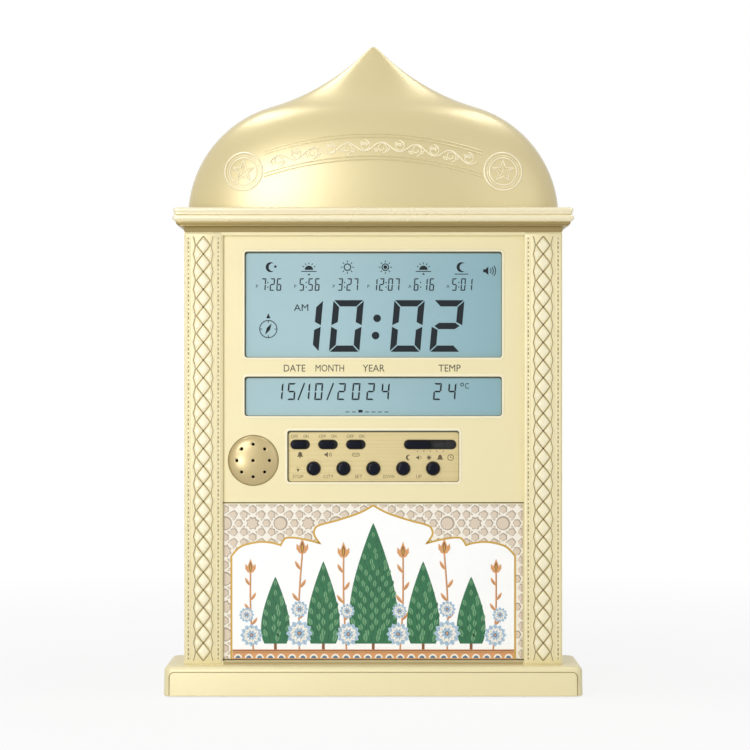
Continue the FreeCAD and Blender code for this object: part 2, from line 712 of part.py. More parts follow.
board_front = size("board_front")
board_spots = both_sides(size("board_post_across"), size("board_low") + size("board_post_inset"),
                         size("board_high") - size("board_post_inset"))
key_front = size("key_front")
key_spots = [(-44.0, size("key_low") + 2.7), (44.0, size("key_low") + 2.7),
             (-size("key_half") + 2.8, size("key_high") - 3.4), (size("key_half") - 2.8, size("key_high") - 3.4)]
speaker_x = size("speaker_place")
speaker_z = size("speaker_level")
ear = size("driver_ear")
ear_slant = ear * math.sqrt(0.5)
ear_spots = [(speaker_x, speaker_z + ear), (speaker_x - ear_slant, speaker_z - ear_slant)]
plate_rear = panel_rear - seat_gap - size("plate_thick")
ear_front = panel_rear - seat_gap * 2 - size("cap_wall")

display_panel = plate("display_panel", -panel_half, panel_half, joint_high, size("panel_high"),
                      panel_rear, panel_front)
windows = new_sketch(display_panel, "panel_windows", "XZ_Plane", panel_front)
corner = size("window_corner")
draw_rounded(windows, -size("window_half"), size("window_half"), size("window_low"), size("window_high"), corner)
draw_rounded(windows, -size("window_half"), size("window_half"), size("date_low"), size("date_high"), corner)
draw_rounded(windows, -size("controls_half"), size("controls_half"), size("controls_low"),
             size("controls_high"), corner)
draw_circle(windows, speaker_x, speaker_z, size("cap_radius") + run_gap)
opened = cut(display_panel, windows, wall)
stand_posts(display_panel, "board_posts", "XZ_Plane", board_spots, post_small, board_front,
          panel_rear - board_front)
stand_posts(display_panel, "key_posts", "XZ_Plane", key_spots, post_small, key_front, panel_rear - key_front)
stand_posts(display_panel, "ear_posts", "XZ_Plane", ear_spots, post_small, ear_front, panel_rear - ear_front)
drill(display_panel, "board_pilots", "XZ_Plane", board_spots, pilot_small, board_front, 5.0)
drill(display_panel, "key_pilots", "XZ_Plane", key_spots, pilot_small, key_front, 6.0)
drill(display_panel, "ear_pilots", "XZ_Plane", ear_spots, pilot_small, ear_front, 3.0)
drill(display_panel, "display_holes", "XZ_Plane", panel_spots[4:], clear_small, panel_rear, wall)

screws("panel_screws", "XZ_Plane", panel_spots, panel_rear, 4.2, small=True)

# Display glasses, backlights and the conductive strips that join glass to board

glass_front = panel_rear - seat_gap
glass_rear = glass_front - size("glass_thick")
glass_half = size("glass_half")
strip_bars = []
for name, low, high, over in (("main", size("window_low"), size("window_high"), size("glass_over")),
                              ("date", size("date_low"), size("date_high"), size("glass_over_date"))):
    plate("lcd_" + name, -glass_half, glass_half, low - over, high + over, glass_rear, glass_front)
    room = size("strip_tall") + 0.6
    plate("backlight_" + name, -size("window_half"), size("window_half"), low - over + room,
          high + over - room, board_front + seat_gap, glass_rear - seat_gap)
    strip_bars.append((low - over + 0.2, low - over + 0.2 + size("strip_tall")))
    strip_bars.append((high + over - 0.2 - size("strip_tall"), high + over - 0.2))
strips = new_body("conductive_strips", compound=True)
sketch = new_sketch(strips, "strip_bars", "XZ_Plane", board_front)
for low, high in strip_bars:
    draw_rectangle(sketch, -size("strip_half"), size("strip_half"), low, high)
pad(strips, sketch, glass_rear - board_front)

# Main board with its chips, crystal, capacitors and temperature sensor

board_rear = board_front - size("board_thick")
main_board = plate("main_board", -size("board_half"), size("board_half"), size("board_low"),
                   size("board_high"), board_rear, board_front)
drill(main_board, "board_holes", "XZ_Plane", board_spots, clear_small, board_rear, size("board_thick"))
screws("main_board_screws", "XZ_Plane", board_spots, board_rear, 5.5, small=True)

chips = new_body("clock_chips", compound=True)
sketch = new_sketch(chips, "chip_outlines", "XZ_Plane", board_rear)
draw_rectangle(sketch, 4.0, 18.0, 182.0, 196.0)
draw_rectangle(sketch, -34.0, -24.0, 178.0, 186.0)
pad(chips, sketch, 1.6, backward=True)
crystal = new_body("crystal")
sketch = new_sketch(crystal, "crystal_can", "XZ_Plane", board_rear)
draw_rounded(sketch, 24.0, 35.0, 186.0, 190.4, 2.1)
pad(crystal, sketch, 3.4, backward=True)
capacitors = new_body("capacitors", compound=True)
add_posts(capacitors, "capacitor_cans", "XZ_Plane", [(-48.0, 160.0), (-59.0, 160.0)], 4.0, board_rear - 9.0, 9.0,
          sides=ROUND_SIDES)
sensor = new_body("temperature_sensor")
sketch = new_sketch(sensor, "sensor_bead", "XZ_Plane", board_rear)
draw_circle(sketch, 62.0, 150.0, 2.2)
pad(sensor, sketch, 5.0, backward=True)

# Control plate and the fibre mask behind its slots

control_half = size("plate_half")
plate_front = panel_rear - seat_gap
button_level = size("button_level")
switch_level = size("switch_level")
tall = size("switch_tall") / 2
button_spots = [(size("button_pitch") * step, button_level) for step in (-2, -1, 0, 1, 2)]
switch_spots = [size("switch_first") + size("switch_pitch") * step for step in (0, 1, 2)]
mode_place = size("mode_place")

control_plate = plate("control_plate", -control_half, control_half, size("controls_low") - size("plate_over"),
                      size("controls_high") + size("plate_over"), plate_rear, plate_front)
drill(control_plate, "button_holes", "XZ_Plane", button_spots, size("button_radius") + run_gap,
          plate_rear, size("plate_thick"), sides=ROUND_SIDES)
slots = new_sketch(control_plate, "switch_slots", "XZ_Plane", plate_front)
for place in switch_spots:
    draw_rounded(slots, place - size("switch_slot") / 2, place + size("switch_slot") / 2,
                 switch_level - tall, switch_level + tall, 0.5)
draw_rounded(slots, mode_place - size("mode_slot") / 2, mode_place + size("mode_slot") / 2,
             switch_level - tall, switch_level + tall, 0.5)
cut(control_plate, slots, size("plate_thick"))

mask_front = plate_rear - seat_gap
mask_rear = mask_front - size("mask_thick")
lever = size("lever_half")
mask = plate("switch_mask", -size("mask_half"), size("mask_half"), switch_level - size("mask_rise"),
             switch_level + size("mask_rise"), mask_rear, mask_front)
slots = new_sketch(mask, "lever_slots", "XZ_Plane", mask_front)
for place, travel in [(item, size("switch_travel")) for item in switch_spots] + [(mode_place, size("mode_travel"))]:
    reach = lever + travel / 2 + run_gap
    draw_rectangle(slots, place - reach, place + reach, switch_level - lever - run_gap,
                   switch_level + lever + run_gap)
cut(mask, slots, size("mask_thick"))

# Push buttons: a domed cap, a flange that holds it behind the plate and a stem

flange_front = plate_rear - seat_gap
flange_rear = flange_front - 1.0
tact_front = key_front + size("tact_tall")
plunger_front = tact_front + 1.0
stem_rear = plunger_front + size("button_travel") + seat_gap
for step, word in enumerate(("stop", "city", "set", "down", "up")):
    button = new_body("button_" + word)
    radius = size("button_radius")
    front = size("button_front")
    dome = size("button_dome")
    cap = add_posts(button, "cap_" + word, "XZ_Plane", [(0.0, 0.0)], radius, flange_front, front - flange_front,
                    sides=ROUND_SIDES)
    soften(button, cap, edges_at_front(cap.Shape, front), dome, kind="PartDesign::Chamfer")
    add_posts(button, "flange_" + word, "XZ_Plane", [(0.0, 0.0)], size("button_flange"), flange_rear,
              flange_front - flange_rear)
    add_posts(button, "stem_" + word, "XZ_Plane", [(0.0, 0.0)], size("button_stem"), stem_rear,
              flange_rear - stem_rear)
    bind(button, "Placement.Base.x", button_spots[step][0])
    bind(button, "Placement.Base.z", button_level)

# Switch knobs: a grip in the slot, a lever through the mask and a slider behind it


def switch_knob(label, place, slot, travel):
    """A knob resting at the left end of its slot."""
    knob = new_body(label)
    grip = (slot - travel) / 2 - 0.2
    rest = place - travel / 2
    high = tall - run_gap
    sketch = new_sketch(knob, label + "_grip", "XZ_Plane", mask_front + seat_gap)
    trim = size("knob_corner")
    draw_polygon(sketch, [(-grip + trim, -high), (grip - trim, -high), (grip, -high + trim), (grip, high - trim),
                          (grip - trim, high), (-grip + trim, high), (-grip, high - trim), (-grip, -high + trim)])
    grip_pad = pad(knob, sketch, size("knob_front") - mask_front - seat_gap)
    rim = edges_at_front(grip_pad.Shape, size("knob_front"))
    soften(knob, grip_pad, rim, size("knob_bevel"), kind="PartDesign::Chamfer")
    add_block(knob, label + "_lever", -lever, lever, -lever, lever, mask_rear - seat_gap,
              mask_front + seat_gap)
    add_block(knob, label + "_slider", -size("slider_half"), size("slider_half"), -tall, tall,
              mask_rear - seat_gap - 1.0, mask_rear - seat_gap)
    bind(knob, "Placement.Base.x", rest)
    bind(knob, "Placement.Base.z", switch_level)
    return knob


for word, place in zip(("left", "middle", "right"), switch_spots):
    switch_knob("switch_knob_" + word, place, size("switch_slot"), size("switch_travel"))
switch_knob("mode_switch_knob", mode_place, size("mode_slot"), size("mode_travel"))

# Key board with the key switches and the slide switches

key_rear = key_front - size("board_thick")
key_board = plate("key_board", -size("key_half"), size("key_half"), size("key_low"), size("key_high"),
                  key_rear, key_front)
drill(key_board, "key_holes", "XZ_Plane", key_spots, clear_small, key_rear, size("board_thick"))
screws("key_board_screws", "XZ_Plane", key_spots, key_rear, 6.0, small=True)

tacts = new_body("key_switches", compound=True)
sketch = new_sketch(tacts, "key_switch_cases", "XZ_Plane", key_front)
tact = size("tact_half")
for across, up in button_spots:
    draw_rectangle(sketch, across - tact, across + tact, up - tact, up + tact)
pad(tacts, sketch, size("tact_tall"))
add_posts(tacts, "key_switch_plungers", "XZ_Plane", button_spots, 1.7, tact_front,
          plunger_front - tact_front)

slides = new_body("slide_switches", compound=True)
sketch = new_sketch(slides, "slide_cases", "XZ_Plane", key_front)
for place in switch_spots:
    draw_rectangle(sketch, place - 4.6, place + 4.6, switch_level - tall, switch_level + tall)
draw_rectangle(sketch, mode_place - 12.5, mode_place + 12.5, switch_level - tall, switch_level + tall)
pad(slides, sketch, size("slide_rear_tall"))

# Loudspeaker: pierced cap, rim with two ears and a tapering basket, cone and magnet


def at_speaker(body):
    """Set a body that was drawn about its own axis at the loudspeaker's place."""
    bind(body, "Placement.Base.x", speaker_x)
    bind(body, "Placement.Base.z", speaker_z)


cap_rim = size("cap_radius")
cap_wall = size("cap_wall")
cap_back = ear_front + seat_gap
cap_edge = size("cap_edge")
cap_front = size("cap_front")
cap_rise = cap_front - cap_edge
speaker_cap = new_body("speaker_cap")
add_posts(speaker_cap, "cap_flange_ring", "XZ_Plane", [(0.0, 0.0)], size("cap_flange"), cap_back, cap_wall,
          sides=ROUND_SIDES)
inner_rim = cap_rim - cap_wall
middle = [(0.0, 0.0)]
cap_dome = add_posts(speaker_cap, "cap_dome", "XZ_Plane", middle, cap_rim, cap_back, cap_front - cap_back,
                     sides=CAP_SIDES)
soften(speaker_cap, cap_dome, edges_at_front(cap_dome.Shape, cap_front), cap_rise, kind="PartDesign::Chamfer")
cut_bores(speaker_cap, "cap_room", "XZ_Plane", middle, inner_rim, cap_back, cap_edge - cap_back - cap_wall / 2,
          sides=CAP_SIDES)
cut_bores(speaker_cap, "cap_face_room", "XZ_Plane", middle, inner_rim - cap_rise, cap_edge - cap_wall,
          cap_rise, sides=CAP_SIDES)
cut_bores(speaker_cap, "cap_middle_hole", "XZ_Plane", [(0.0, 0.0)], size("cap_hole"), panel_rear, 9.0)
ring_hole = cut_bores(speaker_cap, "cap_ring_hole", "XZ_Plane", [(size("cap_ring"), 0.0)], size("cap_hole"),
                      panel_rear, 9.0)
ring = speaker_cap.newObject("PartDesign::PolarPattern", "cap_ring_holes")
ring.Originals = [ring_hole]
ring.Axis = (origin_item(speaker_cap, "Y_Axis"), [""])
ring.Angle = 360
ring.setExpression("Occurrences", "Sizes.cap_holes")
speaker_cap.Tip = ring
at_speaker(speaker_cap)

driver_front = ear_front
driver_rear = driver_front - size("driver_thick")
driver_rim = size("driver_radius")
basket = driver_rim - 2.0
throat = size("magnet_radius") - 1.0
magnet_front = size("magnet_front")
basket_wall = size("basket_wall")

speaker_frame = new_body("speaker_frame")
basket_step = (magnet_front + driver_rear) / 2
add_posts(speaker_frame, "driver_rim", "XZ_Plane", middle, driver_rim, driver_rear, size("driver_thick"),
          sides=ROUND_SIDES)
add_posts(speaker_frame, "basket_upper", "XZ_Plane", middle, basket + basket_wall, basket_step,
          driver_rear - basket_step, sides=ROUND_SIDES)
add_posts(speaker_frame, "basket_lower", "XZ_Plane", middle, throat + basket_wall, magnet_front,
          basket_step - magnet_front, sides=ROUND_SIDES)
ears = new_sketch(speaker_frame, "driver_ears", "XZ_Plane", driver_rear)
inner_reach = driver_rim - 1.0
outer_reach = ear + 2.6
draw_rectangle(ears, -2.6, 2.6, inner_reach, outer_reach)
slant = math.sqrt(0.5)
ear_corners = []
for reach, hand in ((inner_reach, 2.6), (outer_reach, 2.6), (outer_reach, -2.6), (inner_reach, -2.6)):
    ear_corners.append(((hand - reach) * slant, (-reach - hand) * slant))
draw_polygon(ears, ear_corners)
pad(speaker_frame, ears, size("driver_thick"))
cut_bores(speaker_frame, "basket_mouth", "XZ_Plane", middle, basket, basket_step + basket_wall,
          driver_front - basket_step - basket_wall, sides=ROUND_SIDES)
cut_bores(speaker_frame, "basket_throat", "XZ_Plane", middle, throat, magnet_front + basket_wall,
          basket_step - magnet_front, sides=ROUND_SIDES)
cut_bores(speaker_frame, "basket_floor", "XZ_Plane", middle, throat - 3.0, magnet_front, basket_wall)
cut_bores(speaker_frame, "driver_ear_holes", "XZ_Plane", [(0.0, ear), (-ear_slant, -ear_slant)],
          clear_small, driver_rear, size("driver_thick"))
at_speaker(speaker_frame)

speaker_cone = new_body("speaker_cone")
cone_front = driver_front - run_gap
add_posts(speaker_cone, "cone_sheet", "XZ_Plane", middle, basket - run_gap, cone_front - 0.6, 0.6,
          sides=ROUND_SIDES)
add_posts(speaker_cone, "cone_coil", "XZ_Plane", middle, throat - 2.0, magnet_front + basket_wall + seat_gap,
          cone_front - 0.6 - magnet_front - basket_wall - seat_gap, sides=ROUND_SIDES)
at_speaker(speaker_cone)

magnet = new_body("speaker_magnet")
add_posts(magnet, "magnet_disc", "XZ_Plane", [(speaker_x, speaker_z)], size("magnet_radius"),
          magnet_front - size("magnet_thick"), size("magnet_thick"), sides=POST_SIDES * 2)
screws("speaker_screws", "XZ_Plane", ear_spots, driver_rear, 3.4, small=True)

# Cornice: the front moulding and the side moulding extruded across each other and mitred

cornice_low = size("cornice_low")
crown_base = size("crown_base")
cornice_front = size("cornice_front")
cornice_side = size("cornice_side")
reach = size("cornice_reach")


def draw_moulding(sketch, face, inside):
    """The moulding's profile: a cove, the main roll, a groove and a bead under the top."""
    tall_half = [(inside, cornice_low), (face + 1.0, cornice_low), (face + reach * 0.42, cornice_low + 1.0),
                 (face + reach * 0.62, cornice_low + 2.4), (face + reach * 0.8, cornice_low + 3.2),
                 (face + reach * 0.94, cornice_low + 4.0), (face + reach, cornice_low + 5.6),
                 (face + reach, cornice_low + 7.4), (face + reach * 0.92, cornice_low + 8.6),
                 (face + reach * 0.76, cornice_low + 9.3), (face + reach * 0.76, cornice_low + 9.9),
                 (face + reach * 0.9, cornice_low + 10.5), (face + reach * 0.9, cornice_low + 11.4),
                 (face + reach * 0.7, crown_base), (inside, crown_base)]
    draw_polygon(sketch, tall_half)


def free_sketch(name, rotation):
    sketch = doc.addObject("Sketcher::SketchObject", name)
    sketch.Placement = FreeCAD.Placement(Vector(0, 0, 0), rotation)
    return sketch


def extrude(name, sketch, direction, along, against):
    solid = doc.addObject("Part::Extrusion", name)
    solid.Base = sketch
    solid.DirMode = "Custom"
    solid.Dir = direction
    solid.Solid = True
    bind(solid, "LengthFwd", along)
    bind(solid, "LengthRev", against)
    return solid


# Sketch axes: x along the depth or the width, y up
facing_side = FreeCAD.Rotation(Vector(0, -1, 0), Vector(0, 0, 1), Vector(0, 0, 0), "ZXY")
facing_front = FreeCAD.Rotation(Vector(1, 0, 0), Vector(0, 0, 1), Vector(0, 0, 0), "ZXY")
long_profile = free_sketch("cornice_long_profile", facing_side)
draw_moulding(long_profile, cornice_front, -part_back)
long_run = extrude("cornice_long_run", long_profile, Vector(1, 0, 0), cornice_side + 20, cornice_side + 20)
side_profile = free_sketch("cornice_side_profile", facing_front)
draw_moulding(side_profile, cornice_side, 0.0)
side_run = extrude("cornice_side_run", side_profile, Vector(0, -1, 0), cornice_front + 20, part_back)
side_mirror = doc.addObject("Part::Mirroring", "cornice_side_mirror")
side_mirror.Source = side_run
side_mirror.Normal = Vector(1, 0, 0)
side_pair = doc.addObject("Part::MultiFuse", "cornice_side_pair")
side_pair.Shapes = [side_run, side_mirror]
moulding = doc.addObject("Part::MultiCommon", "cornice_moulding")
moulding.Shapes = [long_run, side_pair]
hollow = doc.addObject("Part::Box", "cornice_hollow")
bind(hollow, "Length", cornice_side * 2)
bind(hollow, "Width", part_back + cornice_front + 1.0)
bind(hollow, "Height", crown_base - wall - cornice_low + 1.0)
bind(hollow, "Placement.Base.x", -cornice_side)
bind(hollow, "Placement.Base.y", -cornice_front)
bind(hollow, "Placement.Base.z", cornice_low - 1.0)
shell = doc.addObject("Part::Cut", "cornice_shell")
shell.Base = moulding
shell.Tool = hollow
crown_spots = both_sides(size("crown_post_out"), 0.0)


def upright(name, spot, radius, low, height):
    item = doc.addObject("Part::Prism", name)
    item.Polygon = POST_SIDES
    bind(item, "Circumradius", radius)
    bind(item, "Height", height)
    bind(item, "Placement.Base.x", spot[0])
    bind(item, "Placement.Base.y", spot[1])
    bind(item, "Placement.Base.z", low)
    return item


cornice_posts = []
cornice_bores = []
for number, spot in enumerate(top_spots, start=1):
    cornice_posts.append(upright("cornice_post_%d" % number, spot, post, frame_top,
                                 crown_base - wall - frame_top + 0.5))
    cornice_bores.append(upright("cornice_pilot_%d" % number, spot, pilot, frame_top,
                                 crown_base - wall - frame_top))
for number, spot in enumerate(crown_spots, start=1):
    cornice_bores.append(upright("cornice_pass_%d" % number, spot, clear, crown_base - wall - 1.0, wall + 2.0))
posted = doc.addObject("Part::MultiFuse", "cornice_posted")
posted.Shapes = [shell] + cornice_posts
bores = doc.addObject("Part::MultiFuse", "cornice_bores")
bores.Shapes = cornice_bores
cornice = doc.addObject("Part::Cut", "cornice")
cornice.Base = posted
cornice.Tool = bores
cornice.Label = "cornice"
nodes.append(cornice)
screws("cornice_screws", "XY_Plane", top_spots, frame_top - wall, 7.0)
screws("crown_screws", "XY_Plane", crown_spots, crown_base - wall, 9.0)
doc.recompute()

# Crown: the ogee outline turned about the middle and flattened in depth, standing on a flat
# skirt; its medallions and arched band follow the swelling surface. Neither PartDesign nor the
# Part primitives flatten a solid along one axis, so this shape is set by code from the sheet.

tip_radius = size("crown_tip").value
arc_radius = size("crown_arc").value
sweep_radius = size("crown_sweep").value
arc_x = size("crown_half").value - arc_radius
arc_z = size("crown_level").value
lean = math.acos((size("crown_turn").value - arc_x) / arc_radius)
sweep_x = arc_x + (arc_radius + sweep_radius) * math.cos(lean)
sweep_z = arc_z + (arc_radius + sweep_radius) * math.sin(lean)


def ogee_points(inset):
    """The right half of the crown's outline: arc, sweep and tip, moved in by an inset."""
    tip = tip_radius - inset
    reach = sweep_radius + inset + tip
    tip_z = sweep_z - math.sqrt(reach ** 2 - sweep_x ** 2)
    meet = Vector(sweep_x, 0, sweep_z) + Vector(-sweep_x, 0, tip_z - sweep_z).normalize() * (sweep_radius + inset)
    turn = Vector(arc_x, 0, arc_z) + Vector(math.cos(lean), 0, math.sin(lean)) * (arc_radius - inset)
    return turn, meet, tip_z, tip


def ogee_edges(inset, base):
    turn, meet, tip_z, tip = ogee_points(inset)
    start_x = arc_x + math.sqrt((arc_radius - inset) ** 2 - (base - arc_z) ** 2)
    start = Vector(start_x, 0, base)
    half_lean = (math.atan2(base - arc_z, start_x - arc_x) + lean) / 2
    arc_middle = Vector(arc_x, 0, arc_z) + Vector(math.cos(half_lean), 0, math.sin(half_lean)) * (arc_radius - inset)
    chord = ((turn + meet) * 0.5 - Vector(sweep_x, 0, sweep_z)).normalize()
    sweep_middle = Vector(sweep_x, 0, sweep_z) + chord * (sweep_radius + inset)
    crest = Vector(0, 0, tip_z + tip)
    lift = ((meet - Vector(0, 0, tip_z)).normalize() + Vector(0, 0, 1)).normalize()
    tip_middle = Vector(0, 0, tip_z) + lift * tip
    return [Part.Arc(start, arc_middle, turn).toShape(), Part.Arc(turn, sweep_middle, meet).toShape(),
            Part.Arc(meet, tip_middle, crest).toShape()], start, crest


def crown_form(base, rear, front, bulge):
    """A skirt between two depths with the flattened half turn in front of it."""
    edges, start, crest = ogee_edges(0.0, base)
    foot = Vector(0, 0, base)
    closing = [Part.LineSegment(crest, foot).toShape(), Part.LineSegment(foot, start).toShape()]
    half = Part.Face(Part.Wire(edges + closing))
    swell = half.revolve(Vector(0, 0, 0), Vector(0, 0, 1), -180)
    matrix = FreeCAD.Matrix()
    matrix.scale(1.0, bulge / start.x, 1.0)
    swell = swell.transformGeometry(matrix)
    swell.translate(Vector(0, -front, 0))
    skirt = half.extrude(Vector(0, -(front - rear), 0))
    skirt.translate(Vector(0, -rear, 0))
    other = skirt.mirror(Vector(0, 0, 0), Vector(1, 0, 0))
    return skirt.fuse(other).fuse(swell)


def crown_reach(inset, level):
    """Half the crown's width at a level, moved in by an inset."""
    if level < ogee_points(inset)[0].z:
        return arc_x + math.sqrt((arc_radius - inset) ** 2 - (level - arc_z) ** 2)
    return sweep_x - math.sqrt((sweep_radius + inset) ** 2 - (level - sweep_z) ** 2)


def crown_room(inset, low, high, rear, front, bulge):
    """The hollow behind the crown's front, with flat faces between rings at even steps of height."""
    widest = crown_reach(inset, low)
    rings = []
    for step in range(ROOM_LEVELS + 1):
        level = low + (high - low) * step / ROOM_LEVELS
        reach = crown_reach(inset, level)
        ring = [Vector(reach, -rear, level)]
        for turn in range(ROOM_SIDES + 1):
            angle = math.pi * turn / ROOM_SIDES
            forward = front + bulge * reach / widest * math.sin(angle)
            ring.append(Vector(reach * math.cos(angle), -forward, level))
        ring.append(Vector(-reach, -rear, level))
        rings.append(ring)
    faces = []
    for lower, upper in zip(rings, rings[1:]):
        for here, after in zip(range(len(lower)), list(range(1, len(lower))) + [0]):
            corners = [lower[here], lower[after], upper[after], upper[here], lower[here]]
            faces.append(Part.Face(Part.makePolygon(corners)))
    for ring in (rings[0], rings[-1]):
        faces.append(Part.Face(Part.makePolygon(ring + ring[:1])))
    return Part.Solid(Part.Shell(faces))


def side_prism(spot, radius, height):
    """A post or a bore of few sides that stands on the crown's floor."""
    corners = []
    for number in range(POST_SIDES + 1):
        angle = 2 * math.pi * number / POST_SIDES
        corners.append(Vector(spot[0].value + radius * math.cos(angle), spot[1] + radius * math.sin(angle),
                              crown_base.value))
    return Part.Face(Part.makePolygon(corners)).extrude(Vector(0, 0, height))


def crown_shape():
    """The outer form less the inner one, with the screw posts on its floor."""
    base = crown_base.value
    thick = wall.value
    rear = -part_back.value
    front = rear + size("crown_skirt").value
    bulge = size("crown_bulge").value
    crest = ogee_edges(0.0, base)[2].z
    inner = crown_room(thick, base + thick, crest - size("crown_solid").value, rear - 1.0, front, bulge - thick)
    solid = crown_form(base, rear, front, bulge).cut(inner)
    posts = [side_prism(spot, post.value, 12.0) for spot in crown_spots]
    bores = [side_prism(spot, pilot.value, 10.0) for spot in crown_spots]
    return solid.fuse(posts).cut(bores).Solids[0]


crown = doc.addObject("Part::Feature", "dome_crown")
crown.Shape = crown_shape()
crown.Placement = FreeCAD.Placement()
crown.Label = "dome_crown"
nodes.append(crown)

# Rear cover: a tray with the outline of case and crown; half is drawn and mirrored

rear_cover = new_body("rear_cover")


def draw_cover_half(sketch, inset):
    """The right half of the cover: bottom, side, the crown's two arcs, tip and middle line."""
    inset = as_size(inset)
    side = body_half - inset
    low = body_base + inset
    centre_x = size("crown_half") - size("crown_arc")
    turn_x = centre_x + (size("crown_arc") - inset) * (size("crown_turn") - centre_x) / size("crown_arc")
    edges, start, crest = ogee_edges(inset.value, crown_base.value)
    turn, meet, tip_z, tip = ogee_points(inset.value)

    def flat(point):
        return Vector(point.x, point.z, 0)

    bottom = sketch.addGeometry(Part.LineSegment(Vector(0, low.value, 0), Vector(side.value, low.value, 0)), False)
    upright = sketch.addGeometry(Part.LineSegment(Vector(side.value, low.value, 0),
                                                  Vector(side.value, crown_base.value, 0)), False)
    ledge = sketch.addGeometry(Part.LineSegment(Vector(side.value, crown_base.value, 0), flat(start)), False)
    arcs = []
    for centre, radius, first, last in (
            (Vector(arc_x, arc_z, 0), arc_radius - inset.value, flat(start), flat(turn)),
            (Vector(sweep_x, sweep_z, 0), sweep_radius + inset.value, flat(meet), flat(turn)),
            (Vector(0, tip_z, 0), tip, flat(meet), flat(crest))):
        circle = Part.Circle(centre, Vector(0, 0, 1), radius)
        begin = math.atan2(first.y - centre.y, first.x - centre.x)
        finish = math.atan2(last.y - centre.y, last.x - centre.x)
        if finish < begin:
            finish += 2 * math.pi
        arcs.append(sketch.addGeometry(Part.ArcOfCircle(circle, begin, finish), False))
    middle = sketch.addGeometry(Part.LineSegment(flat(crest), Vector(0, low.value, 0)), False)
    lower, upper, top = arcs
    for one, one_end, other, other_end in ((bottom, 2, upright, 1), (upright, 2, ledge, 1), (ledge, 2, lower, 1),
                                           (top, 2, middle, 1), (middle, 2, bottom, 1)):
        sketch.addConstraint(Sketcher.Constraint("Coincident", one, one_end, other, other_end))
    sketch.addConstraint(Sketcher.Constraint("Tangent", lower, 2, upper, 2))
    sketch.addConstraint(Sketcher.Constraint("Tangent", upper, 1, top, 1))
    fix_point(sketch, bottom, 1, 0.0, low)
    fix_point(sketch, upright, 1, side, low)
    fix_point(sketch, ledge, 1, side, crown_base)
    fix_point(sketch, lower, 3, centre_x, size("crown_level"))
    fix_value(sketch, "Radius", size("crown_arc") - inset, lower)
    fix_value(sketch, "DistanceY", crown_base, -1, 1, lower, 1)
    fix_value(sketch, "DistanceX", turn_x, -1, 1, lower, 2)
    fix_value(sketch, "Radius", size("crown_sweep") + inset, upper)
    fix_value(sketch, "Radius", size("crown_tip") - inset, top)
    sketch.addConstraint(Sketcher.Constraint("PointOnObject", top, 3, -2))
    sketch.addConstraint(Sketcher.Constraint("PointOnObject", top, 2, -2))


cover_depth = back_face - part_back
cover_floor = -(back_face - wall)
sketch = new_sketch(rear_cover, "cover_outline", "XZ_Plane", -back_face)
draw_cover_half(sketch, 0.0)
cover_pad = pad(rear_cover, sketch, cover_depth)
sketch = new_sketch(rear_cover, "cover_hollow", "XZ_Plane", -part_back)
draw_cover_half(sketch, wall)
cover_cut = cut(rear_cover, sketch, cover_depth - wall)
mirror = rear_cover.newObject("PartDesign::Mirrored", "cover_mirror")
mirror.Originals = [cover_pad, cover_cut]
mirror.MirrorPlane = (origin_item(rear_cover, "YZ_Plane"), [""])
rear_cover.Tip = mirror
doc.recompute()
stand_posts(rear_cover, "cover_posts", "XZ_Plane", rear_spots, post, cover_floor, cover_depth - wall)

cell_last = size("cell_first") + size("cell_pitch") * 2
bay_low = size("cell_first") - size("cell_radius") - size("bay_margin")
bay_high = cell_last + size("cell_radius") + size("bay_margin")
bay_half = size("bay_half")
bay_wall = size("bay_wall")
door_half = size("door_half")
door_low = size("door_low")
door_high = size("door_high")
add_block(rear_cover, "bay_walls", -bay_half - bay_wall * 2, bay_half + bay_wall * 2, door_low - bay_wall,
          door_high + bay_wall, cover_floor, -size("bay_front") + bay_wall)
cut_block(rear_cover, "bay_room", -bay_half, bay_half, bay_low, bay_high, -size("bay_front"),
          back_face - size("bay_front"))
cut_block(rear_cover, "door_opening", -door_half - run_gap, door_half + run_gap, door_low - run_gap,
          door_high + run_gap, cover_floor, wall)

hinge_back = back_face - size("door_thick") / 2
hinge_level = door_low + size("door_thick") / 2
for label, begin in (("right_pin_hole", door_half + run_gap - 0.2), ("left_pin_hole", -door_half - run_gap - size("pin_long") - 0.1)):
    cut_bores(rear_cover, label, "YZ_Plane", [(hinge_back, hinge_level)], size("pin_radius") + run_gap, begin,
              size("pin_long") + 0.3, sides=0)

drill(rear_cover, "cover_holes", "XZ_Plane", rear_spots, clear, -back_face, cover_depth)
drill(rear_cover, "cover_wells", "XZ_Plane", rear_spots, size("head_radius") + run_gap, -back_face, 9.0)
keyhole = new_sketch(rear_cover, "keyhole", "XZ_Plane", -back_face)
draw_circle(keyhole, 0.0, size("keyhole_level"), size("keyhole_radius"))
cut(rear_cover, keyhole, wall, along=True)
neck = new_sketch(rear_cover, "keyhole_neck", "XZ_Plane", -back_face)
neck_half = size("keyhole_slot")
neck_top = size("keyhole_level") + size("keyhole_rise")
draw_rounded(neck, -neck_half, neck_half, size("keyhole_level") - neck_half, neck_top + neck_half,
             neck_half * 0.98)
cut(rear_cover, neck, wall, along=True)
drill(rear_cover, "socket_hole", "XZ_Plane", [(size("socket_place"), size("socket_level"))],
          size("socket_radius") + run_gap, -back_face, wall, sides=ROUND_SIDES)
vent = new_sketch(rear_cover, "sound_slot", "XZ_Plane", -back_face)
vent_end = size("vent_half")
vent_level = size("vent_first")
draw_polygon(vent, [(-vent_end, vent_level), (-vent_end + 0.9, vent_level - 1.0), (vent_end - 0.9, vent_level - 1.0),
                    (vent_end, vent_level), (vent_end - 0.9, vent_level + 1.0), (-vent_end + 0.9, vent_level + 1.0)])
vent_cut = cut(rear_cover, vent, wall, along=True)
vents = rear_cover.newObject("PartDesign::LinearPattern", "sound_slots")
vents.Originals = [vent_cut]
